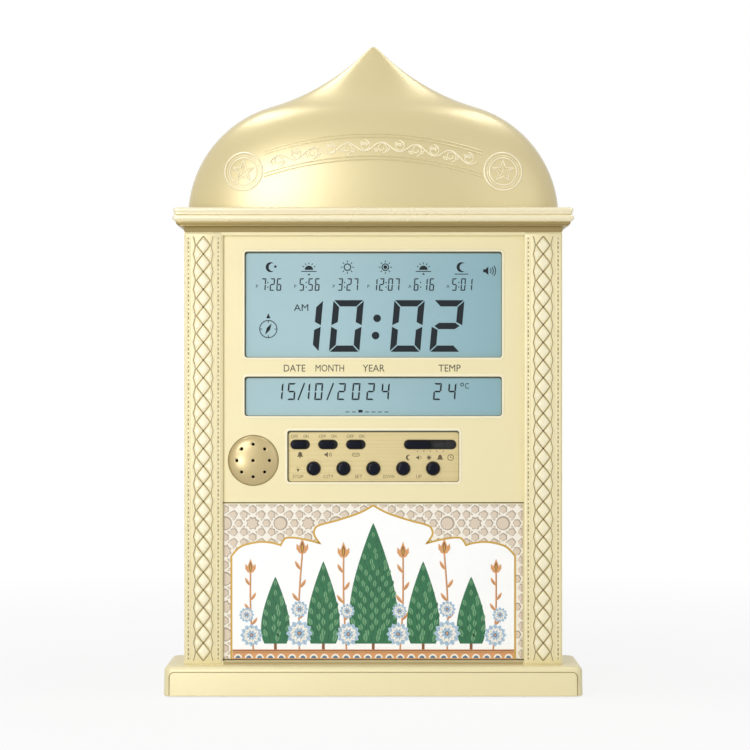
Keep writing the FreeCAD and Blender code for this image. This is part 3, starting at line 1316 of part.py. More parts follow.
vents.Direction = (origin_item(rear_cover, "Z_Axis"), [""])
bind(vents, "Length", size("vent_pitch") * (size("vent_count") - 1))
vents.setExpression("Occurrences", "Sizes.vent_count")
rear_cover.Tip = vents
screws("cover_screws", "XZ_Plane", rear_spots, -(back_face - 9.0), 18.0)

# Battery door: a flat lid with a round lower edge that turns on two pins

door = new_body("battery_door")
profile = new_sketch(door, "door_profile", "YZ_Plane", -door_half)
inner_face = back_face - size("door_thick")
lid_centre = Vector(hinge_back.value, hinge_level.value, 0)
lid_radius = size("door_thick").value / 2
left_line = profile.addGeometry(Part.LineSegment(Vector(inner_face.value, door_high.value, 0),
                                                 Vector(inner_face.value, hinge_level.value, 0)), False)
nose = profile.addGeometry(Part.ArcOfCircle(Part.Circle(lid_centre, Vector(0, 0, 1), lid_radius),
                                            math.pi, 2 * math.pi), False)
right_line = profile.addGeometry(Part.LineSegment(Vector(back_face.value, hinge_level.value, 0),
                                                  Vector(back_face.value, door_high.value, 0)), False)
top_line = profile.addGeometry(Part.LineSegment(Vector(back_face.value, door_high.value, 0),
                                                Vector(inner_face.value, door_high.value, 0)), False)
for one, other in ((left_line, nose), (nose, right_line), (right_line, top_line), (top_line, left_line)):
    profile.addConstraint(Sketcher.Constraint("Coincident", one, 2, other, 1))
fix_point(profile, left_line, 1, inner_face, door_high)
fix_point(profile, left_line, 2, inner_face, hinge_level)
fix_point(profile, right_line, 1, back_face, hinge_level)
fix_point(profile, right_line, 2, back_face, door_high)
fix_value(profile, "DistanceY", hinge_level, -1, 1, nose, 3)
pad(door, profile, door_half * 2)
add_posts(door, "door_pin_right", "YZ_Plane", [(hinge_back, hinge_level)], size("pin_radius"), door_half,
          size("pin_long"), sides=0)
add_posts(door, "door_pin_left", "YZ_Plane", [(hinge_back, hinge_level)], size("pin_radius"),
          -door_half - size("pin_long"), size("pin_long"), sides=0)
grip = new_sketch(door, "door_grip", "XZ_Plane", -back_face)
for step in range(4):
    level = door_high - 5.0 - step * 2.2
    draw_rectangle(grip, -8.0, 8.0, level - 0.6, level + 0.6)
cut(door, grip, 0.6, along=True)
add_block(door, "door_latch", -6.0, 6.0, door_high, door_high + run_gap * 0.6, -back_face + 0.6,
          -back_face + 1.6)

# Batteries, contacts and springs

cell_spots = [(size("cell_back"), size("cell_first") + size("cell_pitch") * step) for step in (0, 1, 2)]
for step, spot in enumerate(cell_spots, start=1):
    cell = new_body("battery_%d" % step)
    facing = 1 if step % 2 else -1
    add_posts(cell, "cell_can_%d" % step, "YZ_Plane", [spot], size("cell_radius"), -size("cell_half") + 0.5,
              size("cell_half") * 2 - 1.5, sides=ROUND_SIDES)
    begin = size("cell_half") - 1.0 if facing > 0 else -size("cell_half")
    end_face = size("cell_half") - 1.0 if facing > 0 else -size("cell_half") - 0.5
    add_posts(cell, "cell_nub_%d" % step, "YZ_Plane", [spot], 2.7, end_face, 1.0)

contacts = new_body("battery_contacts", compound=True)
contact = size("contact_thick")
for label, begin in (("contacts_right", bay_half - contact), ("contacts_left", -bay_half)):
    sketch = new_sketch(contacts, label, "YZ_Plane", begin)
    for across, up in cell_spots:
        draw_rectangle(sketch, across - 5.5, across + 5.5, up - 6.0, up + 6.0)
    pad(contacts, sketch, contact)

springs = doc.addObject("Part::Feature", "battery_springs")


def spring_shape():
    """Square-wired coils, one at the flat end of each battery."""
    coils = []
    radius = size("spring_radius").value
    wire = size("spring_wire").value
    turns = size("spring_turns").value
    room = bay_half.value - contact.value - size("cell_half").value
    rise = room - wire - 0.6
    for step, (back, level) in enumerate(cell_spots):
        side = -1 if step % 2 == 0 else 1
        steps = int(round(turns * 8))
        path = [Vector(radius * math.cos(math.pi * number / 4), radius * math.sin(math.pi * number / 4),
                       rise * number / steps) for number in range(steps + 1)]
        corners = [path[0] + Vector(wire / 2 * across, 0, wire / 2 * up)
                   for across, up in ((-1, -1), (1, -1), (1, 1), (-1, 1), (-1, -1))]
        coil = Part.makePolygon(path).makePipeShell([Part.makePolygon(corners)], True, False, 1)
        turn = FreeCAD.Rotation(Vector(0, 1, 0), 90 * side)
        start = Vector(side * (size("cell_half").value - 0.2 + wire / 2), back.value, level.value)
        coil.Placement = FreeCAD.Placement(start, turn)
        coils.append(coil)
    return Part.makeCompound(coils)


springs.Shape = spring_shape()
springs.Placement = FreeCAD.Placement()
springs.Label = "battery_springs"
nodes.append(springs)

# Power socket: a block inside the cover with its nose flush in the rear face

socket = plate("dc_socket", size("socket_place") - 4.6, size("socket_place") + 4.6,
               size("socket_level") - 4.6, size("socket_level") + 4.6, cover_floor + seat_gap,
               cover_floor + 10.5)
socket_spot = [(size("socket_place"), size("socket_level"))]
add_posts(socket, "socket_nose", "XZ_Plane", socket_spot, size("socket_radius"), -back_face,
          wall + seat_gap, sides=ROUND_SIDES)
cut_bores(socket, "socket_bore", "XZ_Plane", socket_spot, size("socket_bore"), -back_face,
          size("socket_deep"), sides=ROUND_SIDES)
add_posts(socket, "socket_pin", "XZ_Plane", socket_spot, size("socket_pin"), -back_face + 1.0,
          size("socket_deep"))

# Put posts on and bores in, check every object, then write one file for each piece

nodes = [finish_piece(node) for node in nodes]
doc.recompute()
for item in doc.Objects:
    if item.TypeId == "Part::Cut" and item.Shape.Volume > item.Base.Shape.Volume - 0.001:
        raise RuntimeError(item.Name + " cuts nothing")
for item in doc.Objects:
    if "Invalid" in item.State or "Error" in item.State:
        raise RuntimeError(item.Name + " failed: " + ", ".join(item.State))
for node in nodes:
    if node.Shape.isNull() or not node.Shape.isValid():
        raise RuntimeError(node.Label + " has no valid shape")
    if node.Shape.Volume < 0.01 or not node.Shape.Solids:
        raise RuntimeError(node.Label + " is empty")

os.makedirs("parts", exist_ok=True)
for node in nodes:
    node.Shape.exportStep(os.path.join("parts", node.Label + ".step"))
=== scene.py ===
"""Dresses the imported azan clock: lacquered case, relief, display, controls and printed panel."""
import math

import bmesh
import bpy
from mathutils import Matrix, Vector
from mathutils.geometry import tessellate_polygon


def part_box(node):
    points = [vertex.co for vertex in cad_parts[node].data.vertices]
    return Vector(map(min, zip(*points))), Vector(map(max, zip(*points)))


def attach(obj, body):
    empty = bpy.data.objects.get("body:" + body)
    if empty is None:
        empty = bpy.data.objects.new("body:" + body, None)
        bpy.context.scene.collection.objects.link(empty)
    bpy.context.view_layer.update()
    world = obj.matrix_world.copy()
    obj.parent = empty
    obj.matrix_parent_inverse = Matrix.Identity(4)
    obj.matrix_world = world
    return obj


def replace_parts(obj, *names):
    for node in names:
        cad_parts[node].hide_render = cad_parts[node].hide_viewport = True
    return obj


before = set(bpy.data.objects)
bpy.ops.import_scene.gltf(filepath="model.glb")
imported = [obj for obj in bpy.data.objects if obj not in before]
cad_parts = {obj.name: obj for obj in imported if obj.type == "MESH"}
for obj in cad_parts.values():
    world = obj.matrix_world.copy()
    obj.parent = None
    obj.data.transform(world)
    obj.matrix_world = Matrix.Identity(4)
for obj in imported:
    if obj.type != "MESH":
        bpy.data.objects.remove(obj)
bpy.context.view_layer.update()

MM = 0.001


def limits(node):
    """Lowest and highest corner of a CAD node, in millimetres."""
    low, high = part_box(node)
    return Vector(low) / MM, Vector(high) / MM


def flat_middle(node):
    """The middle of a CAD node seen from the front."""
    low, high = limits(node)
    place = (low + high) / 2
    return place.x, place.z


# Finishes: node groups that the materials share

GREY = (0.8, 0.8, 0.8, 1.0)


def add_node(tree, kind, **values):
    node = tree.nodes.new(kind)
    for name, value in values.items():
        setattr(node, name, value)
    return node


def feed(tree, item, spot):
    """Link a socket to an input, or set a plain value there."""
    if hasattr(item, "links"):
        tree.links.new(item, spot)
    else:
        spot.default_value = item


def mix_colours(tree, factor, first, second, blend="MIX"):
    node = add_node(tree, "ShaderNodeMix", data_type="RGBA", blend_type=blend)
    for spot, item in ((0, factor), (6, first), (7, second)):
        feed(tree, item, node.inputs[spot])
    return node.outputs[2]


def calculate(tree, operation, first, second, clamp=False):
    node = add_node(tree, "ShaderNodeMath", operation=operation, use_clamp=clamp)
    for spot, item in enumerate((first, second)):
        feed(tree, item, node.inputs[spot])
    return node.outputs[0]


def swing(tree, texture, amount, middle_value, clamp=False):
    """A texture's value, spread by an amount about a middle."""
    about_zero = calculate(tree, "SUBTRACT", texture, 0.5)
    return calculate(tree, "ADD", calculate(tree, "MULTIPLY", about_zero, amount), middle_value, clamp)


def new_group(name, inputs):
    """A node group with the given inputs, and a colour, a roughness and a height as its outputs."""
    tree = bpy.data.node_groups.new(name, "ShaderNodeTree")
    for label, kind, value in inputs:
        made = tree.interface.new_socket(name=label, in_out="INPUT", socket_type="NodeSocket" + kind)
        made.default_value = value
    for label, kind in (("Colour", "Color"), ("Roughness", "Float"), ("Height", "Float")):
        tree.interface.new_socket(name=label, in_out="OUTPUT", socket_type="NodeSocket" + kind)
    place = add_node(tree, "ShaderNodeTexCoord").outputs["Object"]
    return tree, add_node(tree, "NodeGroupInput").outputs, place


def close_group(tree, colour, rough, height):
    ends = add_node(tree, "NodeGroupOutput").inputs
    for label, source in (("Colour", colour), ("Roughness", rough), ("Height", height)):
        tree.links.new(source, ends[label])
    return tree


def make_surface_group():
    """Fine grain and soft cloudy patches."""
    tree, given, place = new_group("Moulded surface", (
        ("Colour", "Color", GREY), ("Patch Colour", "Color", GREY), ("Patch Amount", "Float", 0.3),
        ("Patch Scale", "Float", 30.0), ("Grain Scale", "Float", 3000.0), ("Grain Contrast", "Float", 0.1),
        ("Roughness", "Float", 0.4), ("Roughness Spread", "Float", 0.1)))
    textures = []
    for scale, detail in (("Patch Scale", 3.0), ("Grain Scale", 2.0)):
        noise = add_node(tree, "ShaderNodeTexNoise")
        noise.inputs["Detail"].default_value = detail
        tree.links.new(place, noise.inputs["Vector"])
        tree.links.new(given[scale], noise.inputs["Scale"])
        textures.append(noise.outputs[0])
    clouds, grain = textures
    patches = calculate(tree, "MULTIPLY", clouds, given["Patch Amount"])
    tinted = mix_colours(tree, patches, given["Colour"], given["Patch Colour"])
    level = swing(tree, grain, given["Grain Contrast"], 1.0)
    spread = add_node(tree, "ShaderNodeCombineColor")
    for channel in range(3):
        tree.links.new(level, spread.inputs[channel])
    speckled = mix_colours(tree, 1.0, tinted, spread.outputs[0], blend="MULTIPLY")
    rough = swing(tree, clouds, given["Roughness Spread"], given["Roughness"], clamp=True)
    return close_group(tree, speckled, rough, grain)


def make_brushed_group():
    """Fine lines along one axis, as a brush or a die leaves them."""
    tree, given, place = new_group("Brushed lines", (
        ("Colour", "Color", GREY), ("Line Colour", "Color", GREY), ("Lines", "Vector", (20.0, 900.0, 900.0)),
        ("Roughness", "Float", 0.35)))
    stretch = add_node(tree, "ShaderNodeVectorMath", operation="MULTIPLY")
    tree.links.new(place, stretch.inputs[0])
    tree.links.new(given["Lines"], stretch.inputs[1])
    noise = add_node(tree, "ShaderNodeTexNoise")
    noise.inputs["Scale"].default_value = 1.0
    noise.inputs["Detail"].default_value = 4.0
    tree.links.new(stretch.outputs[0], noise.inputs["Vector"])
    lines = noise.outputs[0]
    rough = calculate(tree, "ADD", calculate(tree, "MULTIPLY", lines, 0.25), given["Roughness"], clamp=True)
    return close_group(tree, mix_colours(tree, lines, given["Colour"], given["Line Colour"]), rough, lines)


SURFACE = make_surface_group()
BRUSHED = make_brushed_group()


def linear(red, green, blue):
    """A colour as it is seen on screen, turned into the shader's own values."""
    channels = []
    for level in (red, green, blue):
        level /= 255.0
        channels.append(level / 12.92 if level <= 0.04045 else ((level + 0.055) / 1.055) ** 2.4)
    return (*channels, 1.0)


def new_material(name, group, settings, metallic=0.0, coat=0.0, coat_roughness=0.1, bump=0.0, specular=0.5):
    """A material whose colour, roughness and bump come from a group; settings are the group's inputs."""
    made = bpy.data.materials.new(name)
    made.use_nodes = True
    tree = made.node_tree
    shader = tree.nodes["Principled BSDF"]
    source = add_node(tree, "ShaderNodeGroup", node_tree=group)
    for label, value in settings.items():
        source.inputs[label].default_value = value
    tree.links.new(source.outputs["Colour"], shader.inputs["Base Color"])
    tree.links.new(source.outputs["Roughness"], shader.inputs["Roughness"])
    shader.inputs["Metallic"].default_value = metallic
    shader.inputs["Coat Weight"].default_value = coat
    shader.inputs["Coat Roughness"].default_value = coat_roughness
    shader.inputs["Specular IOR Level"].default_value = specular
    if bump:
        relief = add_node(tree, "ShaderNodeBump")
        relief.inputs["Strength"].default_value = bump
        relief.inputs["Distance"].default_value = 0.0001
        tree.links.new(source.outputs["Height"], relief.inputs["Height"])
        tree.links.new(relief.outputs[0], shader.inputs["Normal"])
    return made


def surface(name, colour, patch, rough, grain=3000.0, contrast=0.08, amount=0.35, scale=30.0, **more):
    """A material of the moulded-surface group; colours are given as seen on screen."""
    settings = {"Colour": linear(*colour), "Patch Colour": linear(*patch), "Patch Amount": amount,
                "Patch Scale": scale, "Grain Scale": grain, "Grain Contrast": contrast, "Roughness": rough}
    return new_material(name, SURFACE, settings, **more)


def lacquer(name, colour, patch, rough, metallic, coat, coat_roughness, bump=0.04, contrast=0.08):
    return surface(name, colour, patch, rough, grain=LACQUER_GRAIN, contrast=contrast, metallic=metallic,
                   coat=coat, coat_roughness=coat_roughness, bump=bump)


def ink(name, colour, patch, scale=140.0, amount=0.8):
    """A printed colour, faintly mottled."""
    return surface(name, colour, patch, 0.35, scale=scale, amount=amount)


def brushed(name, colour, line, rough, lines, **more):
    settings = {"Colour": linear(*colour), "Line Colour": linear(*line), "Lines": lines, "Roughness": rough}
    return new_material(name, BRUSHED, settings, **more)


LACQUER_GRAIN = 5200.0
case_gold = lacquer("case lacquer", (234, 223, 178), (228, 214, 165), 0.42, 0.12, 0.15, 0.3, 0.06, 0.10)
# Painted shade: a darker copy of the case lacquer, standing in for the shade on the crown's curved face; its
# stronger gloss and coat are the lacquer's own.
crown_shade_gold = lacquer("crown lacquer with painted shade", (208, 193, 143), (200, 183, 131), 0.34, 0.3, 1.0, 0.24, 0.05, 0.10)
# Painted highlight: a lighter copy of the case lacquer on the raised relief, strap lines and window rims,
# standing in for the light on their ridges.
relief_highlight_gold = lacquer("relief lacquer with painted highlight", (243, 234, 202), (235, 224, 186), 0.38, 0.12, 0.2, 0.25, 0.05)
# Painted highlight: a lighter copy of the case lacquer for the cornice's rolls and top, standing in for the
# bright light on the main roll.
cornice_highlight_gold = lacquer("cornice lacquer with painted highlight", (240, 229, 193), (233, 219, 177), 0.28, 0.3, 0.5, 0.15)
# Painted shade: a darker copy of the case lacquer for the plinth's top face and a strip along the frame's
# lower rail, where both lie in shade.
deck_shade_gold = lacquer("plinth deck painted shade", (178, 160, 114), (166, 148, 102), 0.5, 0.0, 0.0, 0.1, 0.05, 0.10)
# Painted shade: a darker, browner copy of the case lacquer in the cornice's cove, where shade falls under the
# roll.
cove_shade_gold = lacquer("cornice cove painted shade", (158, 140, 88), (134, 112, 62), 0.34, 0.5, 0.2, 0.1)
cap_gold = lacquer("speaker cap lacquer", (192, 173, 124), (180, 160, 112), 0.3, 0.35, 0.4, 0.2)
# Painted shadow: dark lines standing in for the shade inside the pillars' grooves, the plinth's face line and
# the gap round the speaker cap.
groove_shadow_gold = surface("groove shadow", (152, 136, 92), (134, 118, 76), 0.5, metallic=0.2, bump=0.05)
# Painted shade: dark brown standing in for the shade in the gaps round the panels and on the walls of the
# control holes.
gap_shade_brown = surface("joint gap painted shade", (92, 80, 46), (74, 64, 36), 0.7, contrast=0.2)
plate_gold = brushed("brushed control film", (214, 199, 150), (190, 172, 122), 0.30, (14.0, 1500.0, 1500.0),
                     metallic=0.5, coat=0.2, bump=0.08)
screen_ink = surface("liquid crystal segment", (30, 37, 41), (38, 46, 52), 0.5, contrast=0.05, specular=0.15)
screen_edge = surface("display edge shadow", (86, 92, 78), (74, 80, 66), 0.5, contrast=0.05)
legend_ink = surface("printed legend", (38, 33, 26), (52, 45, 36), 0.55, contrast=0.1)
control_ink = surface("control legend", (96, 80, 48), (80, 66, 40), 0.55, contrast=0.1)
navy_gloss = surface("blue-black key plastic", (6, 9, 24), (10, 14, 32), 0.22, contrast=0.1, specular=0.14,
                     bump=0.02)
# Painted shade: a dark sheet standing in for the darkness seen through the speaker holes.
hollow_shade_black = surface("painted shade in hollow", (22, 19, 14), (32, 28, 20), 0.8, contrast=0.2)
print_white = surface("white print ground", (255, 255, 254), (251, 251, 249), 0.3, contrast=0.01, coat=0.3,
                      coat_roughness=0.08)
print_beige = surface("beige print", (222, 206, 186), (212, 196, 170), 0.35, contrast=0.04)
print_shade = surface("shaded beige print", (176, 160, 140), (160, 144, 124), 0.35, contrast=0.04)
print_cream = surface("cream print", (246, 240, 228), (238, 230, 214), 0.35, contrast=0.04)
GARDEN_INKS = {
    "green": ink("green print", (40, 118, 72), (24, 88, 54), 120.0, 0.9),
    "light": ink("light green print", (112, 164, 118), (84, 142, 98), 120.0),
    "deep": ink("deep green print", (18, 72, 46), (14, 60, 38), 120.0, 0.35),
    "sand": ink("sandy print", (222, 166, 110), (204, 140, 86)),
    "brown": ink("brown print", (138, 84, 44), (112, 66, 34)),
    "blue": ink("pale blue print", (182, 204, 220), (152, 182, 206)),
    "slate": ink("slate blue print", (96, 126, 152), (78, 106, 134)),
    "white": print_cream,
    "gold": surface("gold print", (203, 164, 72), (184, 142, 52), 0.3, contrast=0.06, metallic=0.3),
}
# Painted shade across the display glass: texture of the darker right end, and where the fade from the lighter
# left end starts and stops.
GLASS_SHADE_TEXTURE = {"Patch Amount": 0.5, "Patch Scale": 9.0, "Grain Scale": 9000.0, "Grain Contrast": 0.02}
SHADE_FADE_LEFT = -0.030
SHADE_FADE_RIGHT = 0.062


def make_screen_glass():
    """Grey-blue display glass, painted lighter at its left end and darker towards the right: painted shade of
    the light falling from the left.
    """
    glass = surface("liquid crystal glass", (170, 200, 207), (164, 195, 203), 0.2, grain=9000.0,
                    contrast=0.02, amount=0.5, scale=9.0, coat=0.2, coat_roughness=0.04, specular=0.3)
    tree = glass.node_tree
    base = tree.nodes["Principled BSDF"].inputs["Base Color"]
    near = base.links[0].from_socket
    deep = add_node(tree, "ShaderNodeGroup", node_tree=SURFACE)
    # Painted shade: the darker colour of the glass's right end.
    shaded_end = {"Colour": linear(143, 180, 190), "Patch Colour": linear(138, 175, 186), **GLASS_SHADE_TEXTURE}
    for label, value in shaded_end.items():
        deep.inputs[label].default_value = value
    place = add_node(tree, "ShaderNodeSeparateXYZ")
    tree.links.new(add_node(tree, "ShaderNodeTexCoord").outputs["Object"], place.inputs[0])
    spread = add_node(tree, "ShaderNodeMapRange")
    spread.inputs["From Min"].default_value = SHADE_FADE_LEFT
    spread.inputs["From Max"].default_value = SHADE_FADE_RIGHT
    tree.links.new(place.outputs["X"], spread.inputs["Value"])
    tree.links.new(mix_colours(tree, spread.outputs[0], near, deep.outputs["Colour"]), base)
    return glass


NODE_FINISHES = (
    (case_gold, "front_frame display_panel picture_panel plinth pillar_left pillar_right"),
    (crown_shade_gold, "dome_crown"),
    (cornice_highlight_gold, "cornice"),
    (surface("rear housing texture", (196, 180, 134), (186, 170, 124), 0.62, grain=2600.0, contrast=0.12,
             bump=0.35), "rear_cover battery_door base_plate"),
    (plate_gold, "control_plate"),
    (print_white, "picture_sheet"),
    (make_screen_glass(), "lcd_main lcd_date"),
    (surface("milky light guide", (222, 228, 232), (208, 216, 224), 0.3, scale=60.0),
     "backlight_main backlight_date"),
    (surface("conductive strip", (206, 148, 160), (70, 64, 66), 0.6, scale=900.0, amount=0.7),
     "conductive_strips"),
    (surface("solder mask", (36, 104, 58), (28, 84, 46), 0.35, scale=220.0, amount=0.9, bump=0.1),
     "main_board key_board"),
    (surface("chip resin", (32, 32, 33), (44, 44, 46), 0.6, contrast=0.3, bump=0.3),
     "clock_chips key_switches slide_switches"),
    (brushed("drawn can", (196, 198, 202), (166, 168, 174), 0.25, (900.0, 60.0, 900.0), metallic=1.0),
     "crystal capacitors"),
    (surface("sensor bead resin", (30, 30, 30), (46, 46, 44), 0.3, coat=0.5), "temperature_sensor"),
    (surface("black fibre mask", (12, 12, 13), (22, 22, 22), 0.7, contrast=0.3, bump=0.2), "switch_mask"),
    (navy_gloss, "button_stop button_city button_set button_down button_up switch_knob_left "
                 "switch_knob_middle switch_knob_right mode_switch_knob"),
    (cap_gold, "speaker_cap"),
    (surface("speaker basket paint", (30, 30, 31), (42, 42, 43), 0.45, bump=0.1), "speaker_frame"),
    (surface("pressed cone", (52, 48, 44), (66, 60, 54), 0.85, grain=1800.0, contrast=0.3, bump=0.5),
     "speaker_cone"),
    (surface("ground ferrite", (44, 44, 46), (58, 58, 60), 0.5, contrast=0.3, bump=0.3), "speaker_magnet"),
    (surface("foot rubber", (34, 34, 34), (48, 48, 47), 0.85, contrast=0.3, bump=0.5), "rubber_feet"),
    (brushed("cell jacket", (46, 58, 92), (58, 72, 108), 0.25, (6.0, 700.0, 700.0), metallic=0.4, coat=0.5),
     "battery_1 battery_2 battery_3"),
    (brushed("nickel contact", (200, 200, 198), (168, 168, 166), 0.24, (60.0, 900.0, 900.0), metallic=1.0),
     "battery_contacts battery_springs"),
    (surface("socket nylon", (26, 26, 27), (38, 38, 38), 0.5, contrast=0.2, bump=0.15), "dc_socket"),
    (brushed("zinc-plated screw", (176, 178, 182), (140, 142, 148), 0.30, (700.0, 700.0, 60.0), metallic=1.0,
             bump=0.1),
     "plinth_screws base_plate_screws cornice_screws crown_screws panel_screws main_board_screws "
     "key_board_screws speaker_screws cover_screws"),
)

for finish, names in NODE_FINISHES:
    for name in names.split():
        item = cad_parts[name]
        if not item.material_slots:
            item.data.materials.append(finish)
        for place in item.material_slots:
            place.material = finish

# Tools for pieces, all in millimetres


class Piece:
    """Points and faces of one piece, gathered shape by shape."""

    def __init__(self):
        self.points = []
        self.faces = []

    def add(self, points, faces):
        start = len(self.points)
        self.points += [tuple(point) for point in points]
        self.faces += [[start + index for index in face] for face in faces]

    def grid(self, rows, closed_across=False, closed_along=False, caps=False):
        """A skin over rows of equally many points; caps fill the first and the last row."""
        count = len(rows[0])
        faces = []
        for row in range(len(rows) if closed_along else len(rows) - 1):
            after = (row + 1) % len(rows)
            for column in range(count if closed_across else count - 1):
                right = (column + 1) % count
                faces.append([row * count + column, row * count + right, after * count + right,
                              after * count + column])
        if caps:
            faces.append(list(range(count)))
            faces.append([(len(rows) - 1) * count + column for column in range(count)])
        self.add([point for row in rows for point in row], faces)

    def plate(self, outlines, back, front):
        """A flat plate between two depths; the first outline is its edge and the others are holes."""
        flat = [[Vector((x, z, 0.0)) for x, z in outline] for outline in outlines]
        triangles = tessellate_polygon(flat)
        places = [point for outline in outlines for point in outline]
        count = len(places)
        points = [(x, -front, z) for x, z in places] + [(x, -back, z) for x, z in places]
        faces = [list(triangle) for triangle in triangles]
        faces += [[index + count for index in triangle] for triangle in triangles]
        first = 0
        for outline in outlines:
            for index in range(len(outline)):
                here, after = first + index, first + (index + 1) % len(outline)
                faces.append([here, after, after + count, here + count])
            first += len(outline)
        self.add(points, faces)

    def stroke(self, path, width, back, front, closed=False):
        """A flat line of even width along a path."""
        rows = []
        for (x, z), normal in zip(path, path_normals(path, closed)):
            across, up = normal.x * width / 2, normal.y * width / 2
            rows.append([(x + across, -back, z + up), (x + across, -front, z + up),
                         (x - across, -front, z - up), (x - across, -back, z - up)])
        self.grid(rows, closed_across=True, closed_along=closed, caps=not closed)

    def bead(self, path, width, height, ground, closed=False, sunk=0.25):
        """A half-round raised line along a path, on a ground whose front is given by a function."""
        profile = [(-1.0, -sunk), (-1.0, 0.0), (-0.7, 0.72 * height), (0.0, height), (0.7, 0.72 * height),
                   (1.0, 0.0), (1.0, -sunk)]
        rows = []
        for place, normal in zip(path, path_normals(path, closed)):
            row = []
            for side, lift in profile:
                x = place[0] + normal[0] * side * width / 2
                z = place[1] + normal[1] * side * width / 2
                row.append((x, -(ground(x, z) + lift), z))
            rows.append(row)
        self.grid(rows, closed_across=True, closed_along=closed, caps=not closed)

    def stack(self, levels, ring=False):
        """Flat outlines at their depths, joined by a skin; in a ring the last one joins the first."""
        self.grid([[(x, -depth, z) for x, z in outline] for outline, depth in levels], closed_across=True,
                  closed_along=ring, caps=not ring)

    def cushion(self, outline, centre, face, rise):
        """A low pad with sloping sides on a flat face."""
        self.stack([([(centre[0] + (x - centre[0]) * scale, centre[1] + (z - centre[1]) * scale)
                      for x, z in outline], face + lift)
                    for scale, lift in ((1.0, -0.1), (1.0, 0.02), (0.8, rise * 0.8), (0.5, rise))])

    def turn(self, centre, stations, sides=48, ring=False):
        """A form turned about a front-to-back axis; stations are radius and forward position."""
        self.stack([(ring_points(centre, radius, sides), forward) for radius, forward in stations], ring)

    def make(self, name, material, body="case", sharp=35.0):
        """The finished object, in metres, riding its body."""
        mesh = bpy.data.meshes.new(name)
        mesh.from_pydata([Vector(point) * MM for point in self.points], [], self.faces)
        work = bmesh.new()
        work.from_mesh(mesh)
        bmesh.ops.remove_doubles(work, verts=work.verts, dist=0.2e-6)
        bmesh.ops.dissolve_degenerate(work, edges=work.edges, dist=0.1e-6)
        bmesh.ops.recalc_face_normals(work, faces=work.faces)
        work.to_mesh(mesh)
        work.free()
        mesh.shade_smooth()
        mesh.set_sharp_from_angle(angle=math.radians(sharp))
        item = bpy.data.objects.new(name, mesh)
        bpy.context.scene.collection.objects.link(item)
        mesh.materials.append(material)
        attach(item, body)
        return item


def path_normals(path, closed=False):
    """Unit normals, in the plane, at each point of a path, lengthened at its corners."""
    normals = []
    last = len(path) - 1
    for index, here in enumerate(path):
        before = path[index - 1] if index or closed else here
        after = path[(index + 1) % len(path)] if index < last or closed else here
        steps = []
        for start, end in ((before, here), (here, after)):
            run = Vector((end[0] - start[0], end[1] - start[1]))
            if run.length > 1e-9:
                steps.append(run.normalized())
        first, second = steps[0], steps[-1]
        along = first + second
        along = along.normalized() if along.length > 1e-6 else first
        across = Vector((-along.y, along.x))
        stretch = max(0.45, across.dot(Vector((-first.y, first.x))))
        normals.append(across / stretch)
    return normals


def polar(reach, degrees):
    angle = math.radians(degrees)
    return reach * math.cos(angle), reach * math.sin(angle)


def arc_points(centre, radius, start, end, steps):
    """Points on an arc; angles in degrees, from +X towards +Z."""
    points = []
    for step in range(steps + 1):
        across, up = polar(radius, start + (end - start) * step / steps)
        points.append((centre[0] + across, centre[1] + up))
    return points


def ring_points(centre, radius, steps=40):
    return arc_points(centre, radius, 0.0, 360.0, steps)[:-1]


def star_points(centre, outer, inner, arms, turn=90.0):
    points = []
    for step in range(arms * 2):
        across, up = polar(inner if step % 2 else outer, turn + 180.0 * step / arms)
        points.append((centre[0] + across, centre[1] + up))
    return points


def rounded_points(left, right, low, high, radius, steps=6):
    points = []
    for x, z, start in ((right - radius, high - radius, 0.0), (left + radius, high - radius, 90.0),
                        (left + radius, low + radius, 180.0), (right - radius, low + radius, 270.0)):
        points += arc_points((x, z), radius, start, start + 90.0, steps)
    return points


def smooth_path(knots, steps=8, closed=False):
    """A Catmull-Rom curve through the knots."""
    path = []
    count = len(knots)
    for index in range(count if closed else count - 1):
        around = []
        for offset in (-1, 0, 1, 2):
            spot = index + offset
            spot = spot % count if closed else min(max(spot, 0), count - 1)
            around.append(Vector(knots[spot]))
        first, second, third, fourth = around
        for step in range(steps):
            share = step / steps
            place = 0.5 * (2 * second + (third - first) * share
                           + (2 * first - 5 * second + 4 * third - fourth) * share ** 2
                           + (3 * second - first - 3 * third + fourth) * share ** 3)
            path.append(tuple(place))
    if not closed:
        path.append(tuple(knots[-1]))
    return path


def moved(points, x, z, scale=1.0, turn=0.0):
    """Points scaled, turned by degrees and then moved."""
    cosine, sine = polar(1.0, turn)
    return [(x + scale * (px * cosine - pz * sine), z + scale * (px * sine + pz * cosine))
            for px, pz in points]


def mirrored(points):
    return [(-x, z) for x, z in points][::-1]


